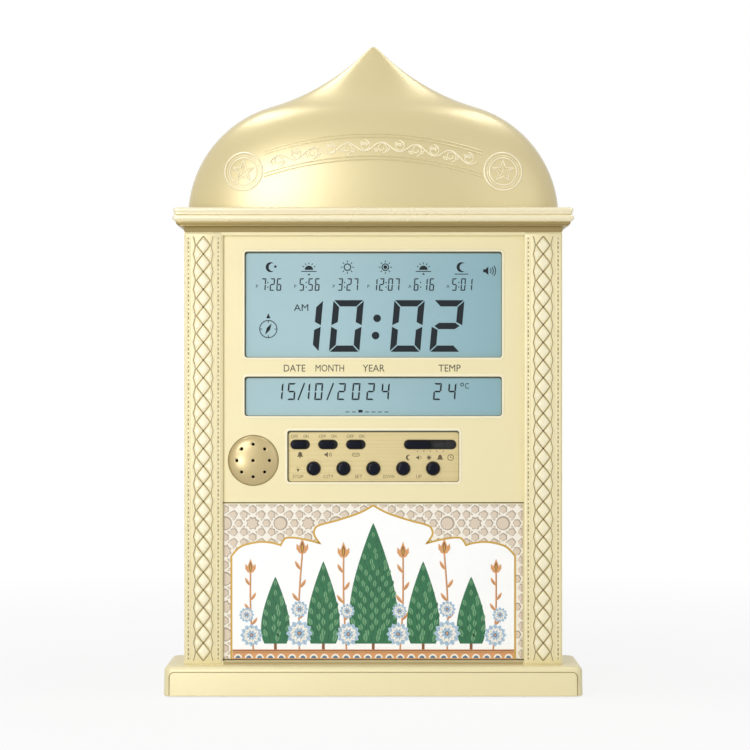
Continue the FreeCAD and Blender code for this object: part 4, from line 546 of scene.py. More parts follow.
class Ink(Piece):
    """Thin print on a face."""

    def __init__(self, face, seat=0.005):
        super().__init__()
        self.back, self.front = face + seat, face + INK

    def shape(self, outline):
        self.plate([outline], self.back, self.front)

    def line(self, path, width, closed=False):
        self.stroke(path, width, self.back, self.front, closed)

    def ring(self, centre, radius, width, steps=32):
        self.line(ring_points(centre, radius, steps), width, closed=True)

    def dot(self, centre, radius, steps=24):
        self.shape(ring_points(centre, radius, steps))

    def rays(self, centre, inner, outer, angles, width=0.4):
        for angle in angles:
            self.line(moved([(inner, 0.0), (outer, 0.0)], *centre, turn=angle), width)

    def text(self, words, centre, height, width=None):
        """Plain letters, fitted by their height and, where given, their width."""
        curve = bpy.data.curves.new("letters", "FONT")
        curve.body = words
        curve.extrude = 0.5
        curve.resolution_u = 3
        sample = bpy.data.objects.new("letters", curve)
        bpy.context.scene.collection.objects.link(sample)
        bpy.context.view_layer.update()
        mesh = bpy.data.meshes.new_from_object(sample.evaluated_get(bpy.context.evaluated_depsgraph_get()))
        xs = [vertex.co.x for vertex in mesh.vertices]
        zs = [vertex.co.y for vertex in mesh.vertices]
        rise = height / (max(zs) - min(zs))
        run = width / (max(xs) - min(xs)) if width else rise
        middle_x, middle_z = (max(xs) + min(xs)) / 2, (max(zs) + min(zs)) / 2
        self.add([(centre[0] + (spot.co.x - middle_x) * run, -(self.front if spot.co.z > 0 else self.back),
                   centre[1] + (spot.co.y - middle_z) * rise) for spot in mesh.vertices],
                 [list(face.vertices) for face in mesh.polygons])
        bpy.data.objects.remove(sample)
        bpy.data.curves.remove(curve)
        bpy.data.meshes.remove(mesh)


# Crown with its relief

crown_low, crown_high = limits("dome_crown")
CROWN_ARC = (37.0, crown_low.z - 3.8)
CROWN_ARC_RADIUS = 61.0
SWEEP_RADIUS = 119.0
TURN_X = 54.0
TIP_RADIUS = 3.4
CROWN_SKIRT = 9.0
SHOULDER_STEPS = 26
SWEEP_STEPS = 22
CROWN_SIDES = 72
lean = math.acos((TURN_X - CROWN_ARC[0]) / CROWN_ARC_RADIUS)
SWEEP = (CROWN_ARC[0] + (CROWN_ARC_RADIUS + SWEEP_RADIUS) * math.cos(lean),
         CROWN_ARC[1] + (CROWN_ARC_RADIUS + SWEEP_RADIUS) * math.sin(lean))
tip_z = SWEEP[1] - math.sqrt((SWEEP_RADIUS + TIP_RADIUS) ** 2 - SWEEP[0] ** 2)
turn_z = CROWN_ARC[1] + CROWN_ARC_RADIUS * math.sin(lean)
tip_meet_z = tip_z + TIP_RADIUS * (SWEEP[1] - tip_z) / (SWEEP_RADIUS + TIP_RADIUS)
crown_rear = -crown_high.y
crown_front = crown_rear + CROWN_SKIRT
crown_bulge = -crown_low.y - crown_front


def crown_reach(z):
    """Half the crown's width at a height: shoulder, sweep, then the rounded tip."""
    if z <= turn_z:
        return CROWN_ARC[0] + math.sqrt(max(CROWN_ARC_RADIUS ** 2 - (z - CROWN_ARC[1]) ** 2, 0.0))
    if z <= tip_meet_z:
        return SWEEP[0] - math.sqrt(SWEEP_RADIUS ** 2 - (z - SWEEP[1]) ** 2)
    return math.sqrt(max(TIP_RADIUS ** 2 - (z - tip_z) ** 2, 0.0))


crown_half = crown_reach(crown_low.z)


def crown_ground(x, z):
    """How far forward the crown's surface lies at a place seen from the front."""
    reach = crown_reach(z)
    return crown_front + crown_bulge / crown_half * math.sqrt(max(reach ** 2 - x ** 2, 0.0))


def make_crown():
    crest = tip_z + TIP_RADIUS - 0.02
    levels = [crown_low.z + 0.02 + (turn_z - crown_low.z) * step / SHOULDER_STEPS
              for step in range(SHOULDER_STEPS)]
    levels += [turn_z + (tip_meet_z - turn_z) * step / SWEEP_STEPS for step in range(SWEEP_STEPS)]
    levels += [tip_z + TIP_RADIUS * math.sin(math.radians(angle)) for angle in (62, 68, 74, 80, 86)]
    rows = []
    for level in sorted(level for level in levels if level < crest) + [crest]:
        reach = max(crown_reach(level), 0.02)
        row = [(reach, -crown_rear, level)]
        for step in range(CROWN_SIDES + 1):
            angle = math.pi * step / CROWN_SIDES
            forward = crown_front + crown_bulge * reach / crown_half * math.sin(angle)
            row.append((reach * math.cos(angle), -forward, level))
        rows.append(row + [(-reach, -crown_rear, level)])
    crown = Piece()
    crown.grid(rows, closed_across=True, caps=True)
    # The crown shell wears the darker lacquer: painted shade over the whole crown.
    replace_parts(crown.make("crown_shell", crown_shade_gold, sharp=50.0), "dome_crown")


BAND_RADIUS = 190.0
BAND_TOP = crown_low.z + 38.7
BAND_LOW = crown_low.z + 25.1
BAND_END = 57.0
MEDALLION = (67.8, crown_low.z + 19.4)
MEDALLION_RINGS = ((9.9, 1.0, 0.6), (8.4, 0.45, 0.3), (7.2, 0.8, 0.5))
VINE_PITCH = 9.0
VINE_SWING = 2.3
VINE_LEAF = [(0, 0), (0.75, 0.9), (0.55, 2.0), (0, 2.9), (-0.55, 2.0), (-0.75, 0.9)]
CURL_REACH = 3.1
CURL_TURN = 470


def band_level(x, height):
    """A level of the band, which follows the crown's arch."""
    return height - (BAND_RADIUS - math.sqrt(BAND_RADIUS ** 2 - x ** 2))


def make_crown_relief():
    borders, vine, medals = Piece(), Piece(), Piece()
    for height in (BAND_TOP, BAND_TOP - 1.7, BAND_LOW, BAND_LOW + 1.7):
        path = [(x, band_level(x, height)) for x in [BAND_END * (step / 40 - 1) for step in range(81)]]
        borders.bead(path, 0.6, 0.35, crown_ground)
    centre_height = (BAND_TOP + BAND_LOW) / 2
    wave = []
    for step in range(241):
        x = -BAND_END + 3.0 + (BAND_END - 3.0) * 2 * step / 240
        wave.append((x, band_level(x, centre_height) + VINE_SWING * math.sin(x * math.pi / VINE_PITCH)))
    vine.bead(wave, 0.75, 0.55, crown_ground)
    for bend in range(-6, 6):
        x = VINE_PITCH * (bend + 0.5)
        z = band_level(x, centre_height)
        side = -1 if bend % 2 else 1
        curl = []
        for step in range(31):
            across, up = polar(CURL_REACH * (1 - 0.72 * step / 30), -90 + CURL_TURN * step / 30)
            curl.append((x + across, z - side * 0.6 + side * up))
        vine.bead(curl, 0.6, 0.45, crown_ground)
        for turn in (35, 145):
            leaf = moved(VINE_LEAF, x + polar(2.6, turn)[0], z - side * 2.4, 0.8, turn - 90 * side)
            vine.bead(leaf, 0.55, 0.4, crown_ground, closed=True)
    for side in (-1, 1):
        centre = (side * MEDALLION[0], MEDALLION[1])
        for radius, width, height in MEDALLION_RINGS:
            medals.bead(ring_points(centre, radius, 64), width, height, crown_ground, closed=True)
        outline = star_points(centre, 5.8, 2.5, 5)
        medals.bead(outline, 0.7, 0.55, crown_ground, closed=True)
        for tip in outline[::2]:
            medals.bead([centre, tip], 0.5, 0.5, crown_ground)
    borders.make("crown_band_borders", crown_shade_gold)
    # Vine and medallions wear the lighter lacquer: painted highlight on the raised relief.
    vine.make("crown_band_vine", relief_highlight_gold)
    medals.make("crown_medallions", relief_highlight_gold)


# Cornice

cornice_low, cornice_high = limits("cornice")
case_side = limits("front_frame")[1].x
case_front = -cornice_low.y - (cornice_high.x - case_side)
CORNICE_CORNER = 1.5
CORNICE_DEPTH = 6.0
DECK = 2.0


def moulding_profile():
    """Offsets from the case's face and heights of the cornice's outer line, from the bottom up."""
    out = cornice_high.x - case_side
    base, top = cornice_low.z, cornice_high.z

    def quarter(centre, size, angles):
        return [(centre[0] + polar(size[0], turn)[0], centre[1] + polar(size[1], turn)[1]) for turn in angles]

    cove = [(0.0, base), (0.2, base + 0.5)] + quarter((2.8, base + 0.6), (-2.6, 2.4), (15, 35, 55, 75, 90))
    cove += [(3.1, base + 3.1), (3.1, base + 3.7), (3.8, base + 3.8), (4.1, base + 4.6), (4.1, base + 5.2)]
    roll = [(4.6, base + 5.25)] + quarter((4.0, base + 7.2), (out - 4.0, 1.85), range(-75, 76, 25))
    roll += [(out - 0.85, base + 9.15), (out - 0.85, base + 9.5)]
    return cove, roll + quarter((out - 1.6, top - 1.4), (1.3, 1.4), (-50, -25, 0, 30, 60, 90))


def sweep_round_case(profile):
    """A closed moulding run along one side, round two mitred corners with small radii and back."""
    route = [("side", -1, 1.0), ("side", -1, 0.04)] + [("corner", -1, a) for a in range(0, 91, 15)]
    route += [("front", 1, share) for share in (-0.98, -0.5, 0.0, 0.5, 0.98)]
    route += [("corner", 1, a) for a in range(90, -1, -15)] + [("side", 1, 0.04), ("side", 1, 1.0)]
    rows = []
    for kind, side, step in route:
        row = []
        for offset, height in profile:
            across, start = case_side + offset - CORNICE_CORNER, CORNICE_CORNER - case_front - offset
            if kind == "side":
                row.append((side * (across + CORNICE_CORNER), start + (-crown_rear - start) * step, height))
            elif kind == "front":
                row.append((across * step, start - CORNICE_CORNER, height))
            else:
                bend = polar(CORNICE_CORNER, step)
                row.append((side * (across + bend[0]), start - bend[1], height))
        rows.append(row)
    run = Piece()
    run.grid(rows, closed_across=True, caps=True)
    return run


def make_cornice():
    cove, roll = moulding_profile()
    joint = cove[-1][1]
    lower = sweep_round_case([(-CORNICE_DEPTH, cove[0][1])] + cove + [(-CORNICE_DEPTH, joint)])
    upper = sweep_round_case([(-CORNICE_DEPTH, joint), (cove[-1][0] - 0.1, joint)] + roll
                             + [(-CORNICE_DEPTH, roll[-1][1])])
    half, front = case_side - CORNICE_DEPTH, case_front - CORNICE_DEPTH
    upper.grid([[(-half, -crown_rear, level), (half, -crown_rear, level), (half, -front, level),
                 (-half, -front, level)] for level in (cornice_high.z - DECK, cornice_high.z)],
               closed_across=True, caps=True)
    # The cove wears the darker lacquer: painted shade under the cornice's roll.
    lower.make("cornice_cove", cove_shade_gold, sharp=40.0)
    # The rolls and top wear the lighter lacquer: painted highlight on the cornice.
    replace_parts(upper.make("cornice_rolls", cornice_highlight_gold, sharp=40.0), "cornice")


# Pillars

LOZENGE_COUNT = 24
LOZENGE_HALF = 3.5
WAVE_NARROW = 3.55
WAVE_SWELL = 1.05
WAVE_STEPS = 16
BEAD_LINE = 7.9
BEAD_END = 2.4
PILLAR_RELIEF = 0.7
PILLAR_BEVEL = 0.7
PILLAR_MARGIN = 1.9


def lozenge_points(x, z, half, tall):
    """A lozenge with faintly bowed sides and blunt corners."""
    corners = ((0, -1), (1, 0), (0, 1), (-1, 0))
    outline = []
    for quarter, (sx, sz) in enumerate(corners):
        nx, nz = corners[(quarter + 1) % 4]
        for share in (0.08, 0.35, 0.65, 0.92):
            outline.append((x + half * (sx * (1 - share) + nx * share),
                            z + tall * (sz * (1 - share) + nz * share)))
    return outline


def make_pillar(node, name):
    low, high = limits(node)
    x0, half = (low.x + high.x) / 2, (high.x - low.x) / 2
    face = -low.y - PILLAR_RELIEF
    shoulder = face - PILLAR_BEVEL
    slab, lozenges, lines, grooves = [Piece() for each in range(4)]
    slab.stack([(rounded_points(x0 - half + inset, x0 + half - inset, low.z + inset, high.z - inset, 0.4, 2),
                 depth)
                for inset, depth in ((0.0, -high.y), (0.0, shoulder),
                                     (PILLAR_BEVEL * 0.35, face - PILLAR_BEVEL * 0.3), (PILLAR_BEVEL, face))])
    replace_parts(slab.make(name + "_slab", case_gold, sharp=30.0), node)
    start = low.z + PILLAR_MARGIN
    pitch = (high.z - low.z - 2 * PILLAR_MARGIN) / LOZENGE_COUNT
    for step in range(LOZENGE_COUNT):
        z = start + pitch * (step + 0.5)
        lozenges.cushion(lozenge_points(x0, z, LOZENGE_HALF - 0.5, pitch / 2 - 0.75), (x0, z), face, 0.4)
        if step:
            z -= pitch / 2
            for side in (-1, 1):
                corner = [(x0 + side * 0.9, z), (x0 + side * 3.6, z - pitch * 0.3), (x0 + side * 4.35, z),
                          (x0 + side * 3.6, z + pitch * 0.3)]
                lozenges.cushion(corner, (x0 + side * 3.3, z), face, 0.3)
    for side in (-1, 1):
        wave, strap = [], []
        for step in range(LOZENGE_COUNT * WAVE_STEPS + 1):
            z = start + pitch * step / WAVE_STEPS
            spread = 1 - abs(2 * (step / WAVE_STEPS % 1.0) - 1) ** 1.15
            wave.append((x0 + side * (WAVE_NARROW + WAVE_SWELL * (1 - spread) + 0.45), z))
            strap.append((x0 + side * LOZENGE_HALF * spread, z))
        # Painted shadow in the carved grooves: dark lines along the lozenge straps and the wavy edges, and
        # short dashes by the bead lines.
        grooves.stroke(strap, 0.66, face - 0.1, face + 0.04)
        grooves.stroke(wave, 0.42, face - 0.1, face + 0.035)
        lines.bead([(x + side * 0.55, z) for x, z in wave], 0.55, 0.4, lambda x, z: face)
        edge = x0 + side * BEAD_LINE
        for x, height in ((edge + side * 0.65, 0.35), (edge - side * 0.95, 0.3)):
            lines.bead([(x, low.z + BEAD_END), (x, high.z - BEAD_END)], 0.5, height, lambda x, z: face)
        for step in range(LOZENGE_COUNT * 4):
            z = start + pitch * (step + 0.5) / 4
            dash = 0.75 if step % 4 in (1, 2) else 0.4
            x = edge - side * 0.15
            grooves.stroke([(x, z - dash), (x, z + dash)], 0.62, face - 0.1, face + 0.04)
    # Lozenges and strap lines wear the lighter lacquer: painted highlight on the raised relief.
    lozenges.make(name + "_lozenges", relief_highlight_gold, sharp=25.0)
    lines.make(name + "_straps", relief_highlight_gold)
    grooves.make(name + "_grooves", groove_shadow_gold)


# Plinth

PLINTH_CORNER = 4.5
PLINTH_ROLL = 2.6
PLINTH_LEAN = 0.25
PLINTH_LINE = 3.0
PLINTH_LINE_BEND = 2.6
RAIL_TALL = 1.5
RAIL_HALF = 78.0


def make_plinth():
    low, high = limits("plinth")

    def outline(inset, corner, level):
        return [(x, y, level) for x, y in rounded_points(low.x + inset, high.x - inset, low.y + inset,
                                                         high.y - inset, corner, 8)]

    stations = [(0.5, low.z), (0.0, low.z + 0.5), (PLINTH_LEAN, high.z - PLINTH_ROLL)]
    stations += [(PLINTH_LEAN + PLINTH_ROLL * (1 - math.cos(math.radians(a))),
                  high.z - PLINTH_ROLL + PLINTH_ROLL * math.sin(math.radians(a))) for a in range(15, 91, 15)]
    plinth, deck, line = Piece(), Piece(), Piece()
    plinth.grid([outline(inset, PLINTH_CORNER - inset * 0.4, level) for inset, level in stations],
                closed_across=True, caps=True)
    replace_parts(plinth.make("plinth_shell", case_gold, sharp=40.0), "plinth")
    # Painted shade: the plinth's top face is covered by a darker lacquer sheet.
    deck.grid([outline(PLINTH_LEAN + PLINTH_ROLL, PLINTH_CORNER - 1.0, high.z - drop)
               for drop in (0.3, 0.01)], closed_across=True, caps=True)
    # Painted shade: a dark strip laid on the frame's lower rail, just above the plinth.
    rail = -limits("front_frame")[0].y
    rail_low, rail_high = high.z + 0.05, high.z + RAIL_TALL
    deck.plate([[(-RAIL_HALF, rail_low), (RAIL_HALF, rail_low), (RAIL_HALF, rail_high),
                 (-RAIL_HALF, rail_high)]], rail - 0.1, rail + 0.03)
    deck.make("plinth_deck_and_rail_shade", deck_shade_gold)
    # Painted shadow: a thin dark groove line round the plinth's front face.
    side, top, bend = high.x - PLINTH_LINE, high.z - PLINTH_LINE, PLINTH_LINE_BEND
    path = [(-side, low.z + 0.6)] + arc_points((-side + bend, top - bend), bend, 180, 90, 8)
    path += arc_points((side - bend, top - bend), bend, 90, 0, 8) + [(side, low.z + 0.6)]
    line.stroke(path, 0.4, -low.y - 0.6, -low.y - 0.19)
    line.make("plinth_face_line", groove_shadow_gold)


# Display

PANEL_FACE = -limits("display_panel")[0].y
GLASS_FACE = -limits("lcd_main")[0].y
INK = 0.03
MAIN_WINDOW = (-67.1, 67.1, 176.0, 231.3)
DATE_WINDOW = (-67.1, 67.1, 145.5, 166.1)
CONTROL_WINDOW = (-44.8, 44.8, 111.1, 137.9)
WINDOW_CORNER = 1.4
RIM_PROFILE = ((0.02, -1.2), (0.02, 0.1), (0.35, 0.32), (0.95, 0.3), (1.3, 0.02), (1.3, -0.1), (0.12, -1.2))

CLOCK_DIGITS = (("1", -39.2, 10.6), ("0", -23.2, 15.9), ("0", 8.6, 15.9), ("2", 29.3, 15.9))
CLOCK_LOW = 179.0
CLOCK_TALL = 27.0
DATE_DIGITS = (("1", -51.6), ("5", -45.1), ("1", -37.6), ("0", -30.9), ("2", -19.0), ("0", -11.4),
               ("2", -3.8), ("4", 3.9), ("2", 31.1), ("4", 38.7))
DATE_LOW = 153.8
DATE_TALL = 8.9
DAY_LEVEL = 147.6
TIMES_LOW = 210.9
SIGNS_LEVEL = 223.2
HORN_PLACE = (59.6, 221.3)
COMPASS_PLACE = (-54.8, 190.9)
DAY_TIMES = (("P", "726", -53.6), ("P", "556", -33.6), ("P", "327", -13.5), ("P", "1207", 6.3),
             ("A", "616", 26.2), ("A", "501", 46.1))
TODAY = 2
SEGMENTS_LIT = {"0": "ABCDEF", "1": "BC", "2": "ABGED", "3": "ABGCD", "4": "FGBC", "5": "AFGCD",
                "6": "AFGECD", "7": "ABC", "8": "ABCDEFG", "9": "ABCDFG"}


def segment_outlines(wide, tall, thick, gap):
    """The seven bars of a digit, as outlines from its lower left corner."""
    half, slope = tall / 2, thick / 2
    top = [(gap, tall), (wide - gap, tall), (wide - thick - gap, tall - thick), (thick + gap, tall - thick)]
    left = [(0, half + gap), (0, tall - gap), (thick, tall - thick - gap), (thick, half + slope + gap)]
    tip = gap + thick * 0.3
    return {"A": top, "D": [(x, tall - z) for x, z in top], "F": left, "E": [(x, tall - z) for x, z in left],
            "B": [(wide - x, z) for x, z in left], "C": [(wide - x, tall - z) for x, z in left],
            "G": [(tip, half), (thick + gap, half + slope), (wide - thick - gap, half + slope),
                  (wide - gap - thick * 0.3, half), (wide - thick - gap, half - slope),
                  (thick + gap, half - slope)]}


def digit(ink, sign, left, low, wide, tall, thick, slant):
    bars = segment_outlines(wide, tall, thick, thick * 0.12)
    for key in SEGMENTS_LIT[sign]:
        ink.shape([(left + x + z * slant, low + z) for x, z in bars[key]])


def make_main_display():
    ink = Ink(GLASS_FACE)
    for sign, left, wide in CLOCK_DIGITS:
        digit(ink, sign, left, CLOCK_LOW, wide, CLOCK_TALL, 3.3, 0.09)
    for place in ((2.0, 196.5), (1.2, 187.5)):
        ink.dot(place, 2.0)
    ink.text("AM", (-37.7, 202.1), 3.5, 7.6)
    for tag, signs, centre in DAY_TIMES:
        hours = len(signs) - 2
        place = centre - (5.2 if hours == 1 else 6.9)
        ink.text(tag, (place - 1.9, 213.2), 1.7)
        for number, sign in enumerate(signs):
            digit(ink, sign, place, TIMES_LOW, 2.5, 6.5, 0.62, 0.07)
            place += 3.5
            if number == hours - 1:
                for level in (212.8, 215.2):
                    ink.dot((place + 0.25, level), 0.36, 10)
                place += 1.1
    make_day_signs(ink, [centre for tag, signs, centre in DAY_TIMES])
    make_compass(ink, COMPASS_PLACE)
    ink.shape(moved([(-2.2, -0.8), (-1.1, -0.8), (0.5, -2.2), (0.5, 2.2), (-1.1, 0.8), (-2.2, 0.8)],
                    *HORN_PLACE))
    for radius in (1.9, 3.1, 4.3):
        ink.line(arc_points(HORN_PLACE, radius, -38, 38, 8), 0.45)
    ink.make("main_display_segments", screen_ink)


def make_day_signs(ink, centres):
    """Small signs over the six times: night, dusk, low sun, noon, sunrise and dawn."""
    level = SIGNS_LEVEL
    for number, x in enumerate(centres):
        if number in (0, 5):
            ink.shape(arc_points((x, level), 2.6, 60, 300, 20)
                      + arc_points((x + 1.1, level), 2.1, 285, 75, 20))
            if number == 0:
                ink.shape(star_points((x + 2.5, level + 0.3), 1.1, 0.45, 5))
            else:
                ink.line([(x - 3.6, level - 3.6), (x + 3.6, level - 3.6)], 0.45)
        elif number in (1, 4):
            ink.shape(arc_points((x, level - 1.4), 2.2, 0, 180, 16))
            ink.line([(x - 4.0, level - 2.2), (x + 4.0, level - 2.2)], 0.45)
            ink.rays((x, level - 1.4), 2.9, 3.9, range(30, 151, 30))
            pointer = [(-0.8, 0.0), (0.8, 0.0), (0.0, 1.0 if number == 4 else -1.0)]
            ink.shape(moved(pointer, x, level - (3.5 if number == 1 else 3.9)))
        else:
            ink.ring((x, level), 1.7, 0.55)
            if number == 3:
                ink.dot((x, level), 1.0, 16)
            ink.rays((x, level), 2.5, 3.5, range(0, 360, 45))


def make_compass(ink, centre):
    """A compass: ring, needle and a north mark."""
    ink.ring(centre, 4.5, 0.45)
    ink.shape(moved([(-1.1, 0.0), (1.1, 0.0), (0.0, 2.6)], centre[0], centre[1] + 5.6))
    ink.shape(moved([(0.0, 3.4), (-1.0, 0.0), (0.0, -3.4), (1.0, 0.0)], *centre, turn=-30))
    ink.rays(centre, 3.2, 4.2, range(0, 360, 90))


def make_date_display():
    ink = Ink(GLASS_FACE)
    for sign, left in DATE_DIGITS:
        digit(ink, sign, left, DATE_LOW, 4.1, DATE_TALL, 0.85, 0.08)
    for left in (-39.3, -24.2):
        ink.line([(left, DATE_LOW), (left + 3.4, DATE_LOW + DATE_TALL)], 0.75)
    ink.ring((46.4, 161.9), 0.75, 0.4)
    ink.text("C", (48.9, 161.2), 2.9, 2.1)
    for day in range(7):
        x = -13.5 + day * 3.4
        if day == TODAY:
            ink.shape([(x - 1.1, 147.3), (x + 1.1, 147.3), (x + 1.1, 148.7), (x - 1.1, 148.7)])
        else:
            ink.line([(x - 1.0, DAY_LEVEL), (x + 1.0, DAY_LEVEL)], 0.4)
    ink.make("date_display_segments", screen_ink)


def window_outline(window, grow):
    left, right, low, high = window
    return rounded_points(left - grow, right + grow, low - grow, high + grow, WINDOW_CORNER + grow, 6)


def make_window_rims():
    rims = Piece()
    edges = Piece()
    for window, floor in ((MAIN_WINDOW, GLASS_FACE), (DATE_WINDOW, GLASS_FACE),
                          (CONTROL_WINDOW, CONTROL_FACE)):
        rims.stack([(window_outline(window, grow), PANEL_FACE + rise) for grow, rise in RIM_PROFILE],
                   ring=True)
        left, right, low, high = window
        inner = rounded_points(left + 0.55, right - 0.25, low + 0.25, high - 0.9, WINDOW_CORNER, 6)
        edges.plate([window_outline(window, 0.3), inner], floor + 0.002, floor + INK * 1.5)
    # The rims wear the lighter lacquer: painted highlight on the window bevels.
    rims.make("window_rims", relief_highlight_gold)
    edges.make("window_edge_shadows", screen_edge)
    # Painted shade: dark lines in the gaps round the display panel and the picture sheet.
    gaps = Piece()
    panel_low, panel_high = limits("display_panel")
    sheet_bottom, sheet_top = limits("picture_sheet")
    left, right, top, bottom = panel_low.x, panel_high.x, panel_high.z, sheet_bottom.z
    for x in (left + 0.2, right - 0.2):
        gaps.stroke([(x, bottom), (x, top)], 0.45, PANEL_FACE - 0.2, PANEL_FACE + 0.03)
    for level, width, rise in ((top - 0.2, 0.4, 0.04), (sheet_top.z + 0.85, 0.55, 0.04),
                               (bottom + 0.15, 0.5, 0.3)):
        gaps.stroke([(left, level), (right, level)], width, PANEL_FACE - 0.2, PANEL_FACE + rise)
    gaps.make("panel_joint_gap_shades", gap_shade_brown)
    ink = Ink(PANEL_FACE)
    for words, left, right in (("DATE", -46.6, -35.4), ("MONTH", -30.1, -15.2), ("YEAR", -5.5, 5.9),
                               ("TEMP", 34.0, 45.5)):
        ink.text(words, ((left + right) / 2, 170.5), 3.6, right - left)
    ink.make("display_legends", legend_ink)


# Controls

CONTROL_FACE = -limits("control_plate")[0].y
BUTTON_RADIUS = 3.35
BUTTON_DOME = ((1.0, 1.1), (0.965, 0.62), (0.86, 0.30), (0.66, 0.10), (0.36, 0.015), (0.1, 0.0))
LEVER_HALF = 1.1
KNOB_HALF = 3.85
KNOB_HALF_LONG = 6.75
KNOB_TALL = 2.15
SLIDER_HALF = 3.6
BELL = [(-1.7, -1.2), (1.7, -1.2), (1.1, -0.5), (0.95, 0.7), (0.4, 1.35), (-0.4, 1.35), (-0.95, 0.7),
        (-1.1, -0.5)]
HORN = [(-1.6, -0.5), (-0.9, -0.5), (0.2, -1.5), (0.2, 1.5), (-0.9, 0.5), (-1.6, 0.5)]
SLOT_TALL = 2.45
SLOTS = ((-38.2, 5.05), (-23.65, 5.05), (-9.1, 5.05), (29.7, 13.65))
SWITCH_Z = flat_middle("switch_knob_left")[1]
BUTTONS = ("button_stop", "button_city", "button_set", "button_down", "button_up")
KNOBS = ("switch_knob_left", "switch_knob_middle", "switch_knob_right", "mode_switch_knob")


def make_button(node):
    low, high = limits(node)
    front, root = -low.y, CONTROL_FACE - 2.6
    button = Piece()
    stations = [(1.9, -high.y), (1.9, root), (4.1, root), (4.1, root + 0.9), (BUTTON_RADIUS, root + 0.9)]
    stations += [(BUTTON_RADIUS * share, front - drop) for share, drop in BUTTON_DOME]
    button.turn(flat_middle(node), stations)
    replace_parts(button.make(node + "_cap", navy_gloss, body=node, sharp=50.0), node)


def make_knob(node):
    """A smooth round-ended grip with finger ribs, on its lever and the slider behind the mask."""
    low, high = limits(node)
    front, back = -low.y, -high.y
    x, z = flat_middle(node)
    half, ribs = (KNOB_HALF_LONG, 7) if node == "mode_switch_knob" else (KNOB_HALF, 3)
    base = CONTROL_FACE - 1.15
    knob = Piece()
    knob.stack([(rounded_points(x - half + inset, x + half - inset, z - KNOB_TALL + inset,
                                z + KNOB_TALL - inset, KNOB_TALL - inset - 0.05, 8), depth)
                for inset, depth in ((0.0, base), (0.0, front - 0.6), (0.12, front - 0.28),
                                     (0.4, front - 0.07), (0.8, front))])
    knob.plate([rounded_points(x - LEVER_HALF, x + LEVER_HALF, z - LEVER_HALF, z + LEVER_HALF, 0.3, 3)],
               back + 0.9, base + 0.1)
    knob.plate([rounded_points(x - SLIDER_HALF, x + SLIDER_HALF, low.z, high.z, 0.4, 3)], back, back + 1.0)
    for step in range(ribs):
        place = x + (step - (ribs - 1) / 2) * 1.3
        knob.bead([(place, z - 1.1), (place, z + 1.1)], 0.45, 0.12, lambda px, pz: front - 0.13, sunk=0.2)
    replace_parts(knob.make(node + "_grip", navy_gloss, body=node, sharp=40.0), node)


def make_control_film():
    """The brushed plate, with a round hole for each button and a round-ended slot for each knob."""
    low, high = limits("control_plate")
    outlines = [rounded_points(low.x, high.x, low.z, high.z, 0.8, 3)]
    for node in BUTTONS:
        outlines.append(ring_points(flat_middle(node), BUTTON_RADIUS + 0.3, 40))
    for x, half in SLOTS:
        outlines.append(rounded_points(x - half, x + half, SWITCH_Z - SLOT_TALL, SWITCH_Z + SLOT_TALL,
                                       SLOT_TALL - 0.05, 8))
    film = Piece()
    film.plate(outlines, -high.y, CONTROL_FACE)
    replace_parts(film.make("control_film", plate_gold, sharp=40.0), "control_plate")
    # Painted shade: dark linings on the walls of the button holes and switch slots.
    wells = Piece()
    for outline in outlines[1:]:
        wells.stroke(outline, 0.28, CONTROL_FACE - 0.9, CONTROL_FACE + 0.02, closed=True)
    wells.make("control_hole_edge_shades", gap_shade_brown)


def make_control_print():
    ink = Ink(CONTROL_FACE, 0.003)
    for x, _ in SLOTS[:3]:
        ink.text("OFF", (x - 2.9, 134.9), 1.7, 3.7)
        ink.text("ON", (x + 3.0, 134.9), 1.7, 2.7)
    for words, x, wide in (("STOP", -39.3, 5.6), ("CITY", -23.4, 5.2), ("SET", -7.7, 4.0), ("DOWN", 8.1, 5.8),
                           ("UP", 23.8, 2.8)):
        ink.text(words, (x, 113.9), 1.8, wide)
    ink.shape(moved(BELL, -38.2, 125.4))
    ink.dot((-38.2, 123.8), 0.35, 10)
    horn = (-23.9, 125.3)
    ink.shape(moved(HORN, *horn))
    for radius in (1.2, 2.0):
        ink.line(arc_points(horn, radius, -38, 38, 6), 0.3)
    ink.line(rounded_points(-10.9, -7.3, 124.5, 126.1, 0.7, 4), 0.3, closed=True)
    for x in (-10.1, -9.1, -8.1):
        ink.dot((x, 125.3), 0.25, 8)
    for x in (23.1, 26.4, 29.8, 33.2, 36.5):
        ink.dot((x, 127.1), 0.32, 12)
    level = 123.8
    ink.shape(arc_points((18.5, level), 1.5, 50, 310, 14) + arc_points((19.2, level), 1.2, 280, 80, 14))
    ink.shape(moved(HORN, 23.8, level, 0.85))
    ink.line(arc_points((23.8, level), 1.2, -38, 38, 6), 0.3)
    ink.shape(star_points((29.1, level), 1.6, 0.7, 8))
    ink.shape(moved(BELL, 34.9, level + 0.1))
    ink.ring((40.4, level), 1.5, 0.35, 24)
    ink.line([(40.4, level + 1.0), (40.4, level), (41.1, level)], 0.3)
    bulb = arc_points((0.0, 0.25), 0.62, -50, 230, 12) + [(-0.3, -0.7), (0.3, -0.7)]
    ink.shape(moved(bulb, -39.3, 117.2))
    ink.rays((-39.3, 117.45), 1.0, 1.45, range(10, 171, 40), 0.22)
    ink.make("control_legends", control_ink)


# Loudspeaker cap


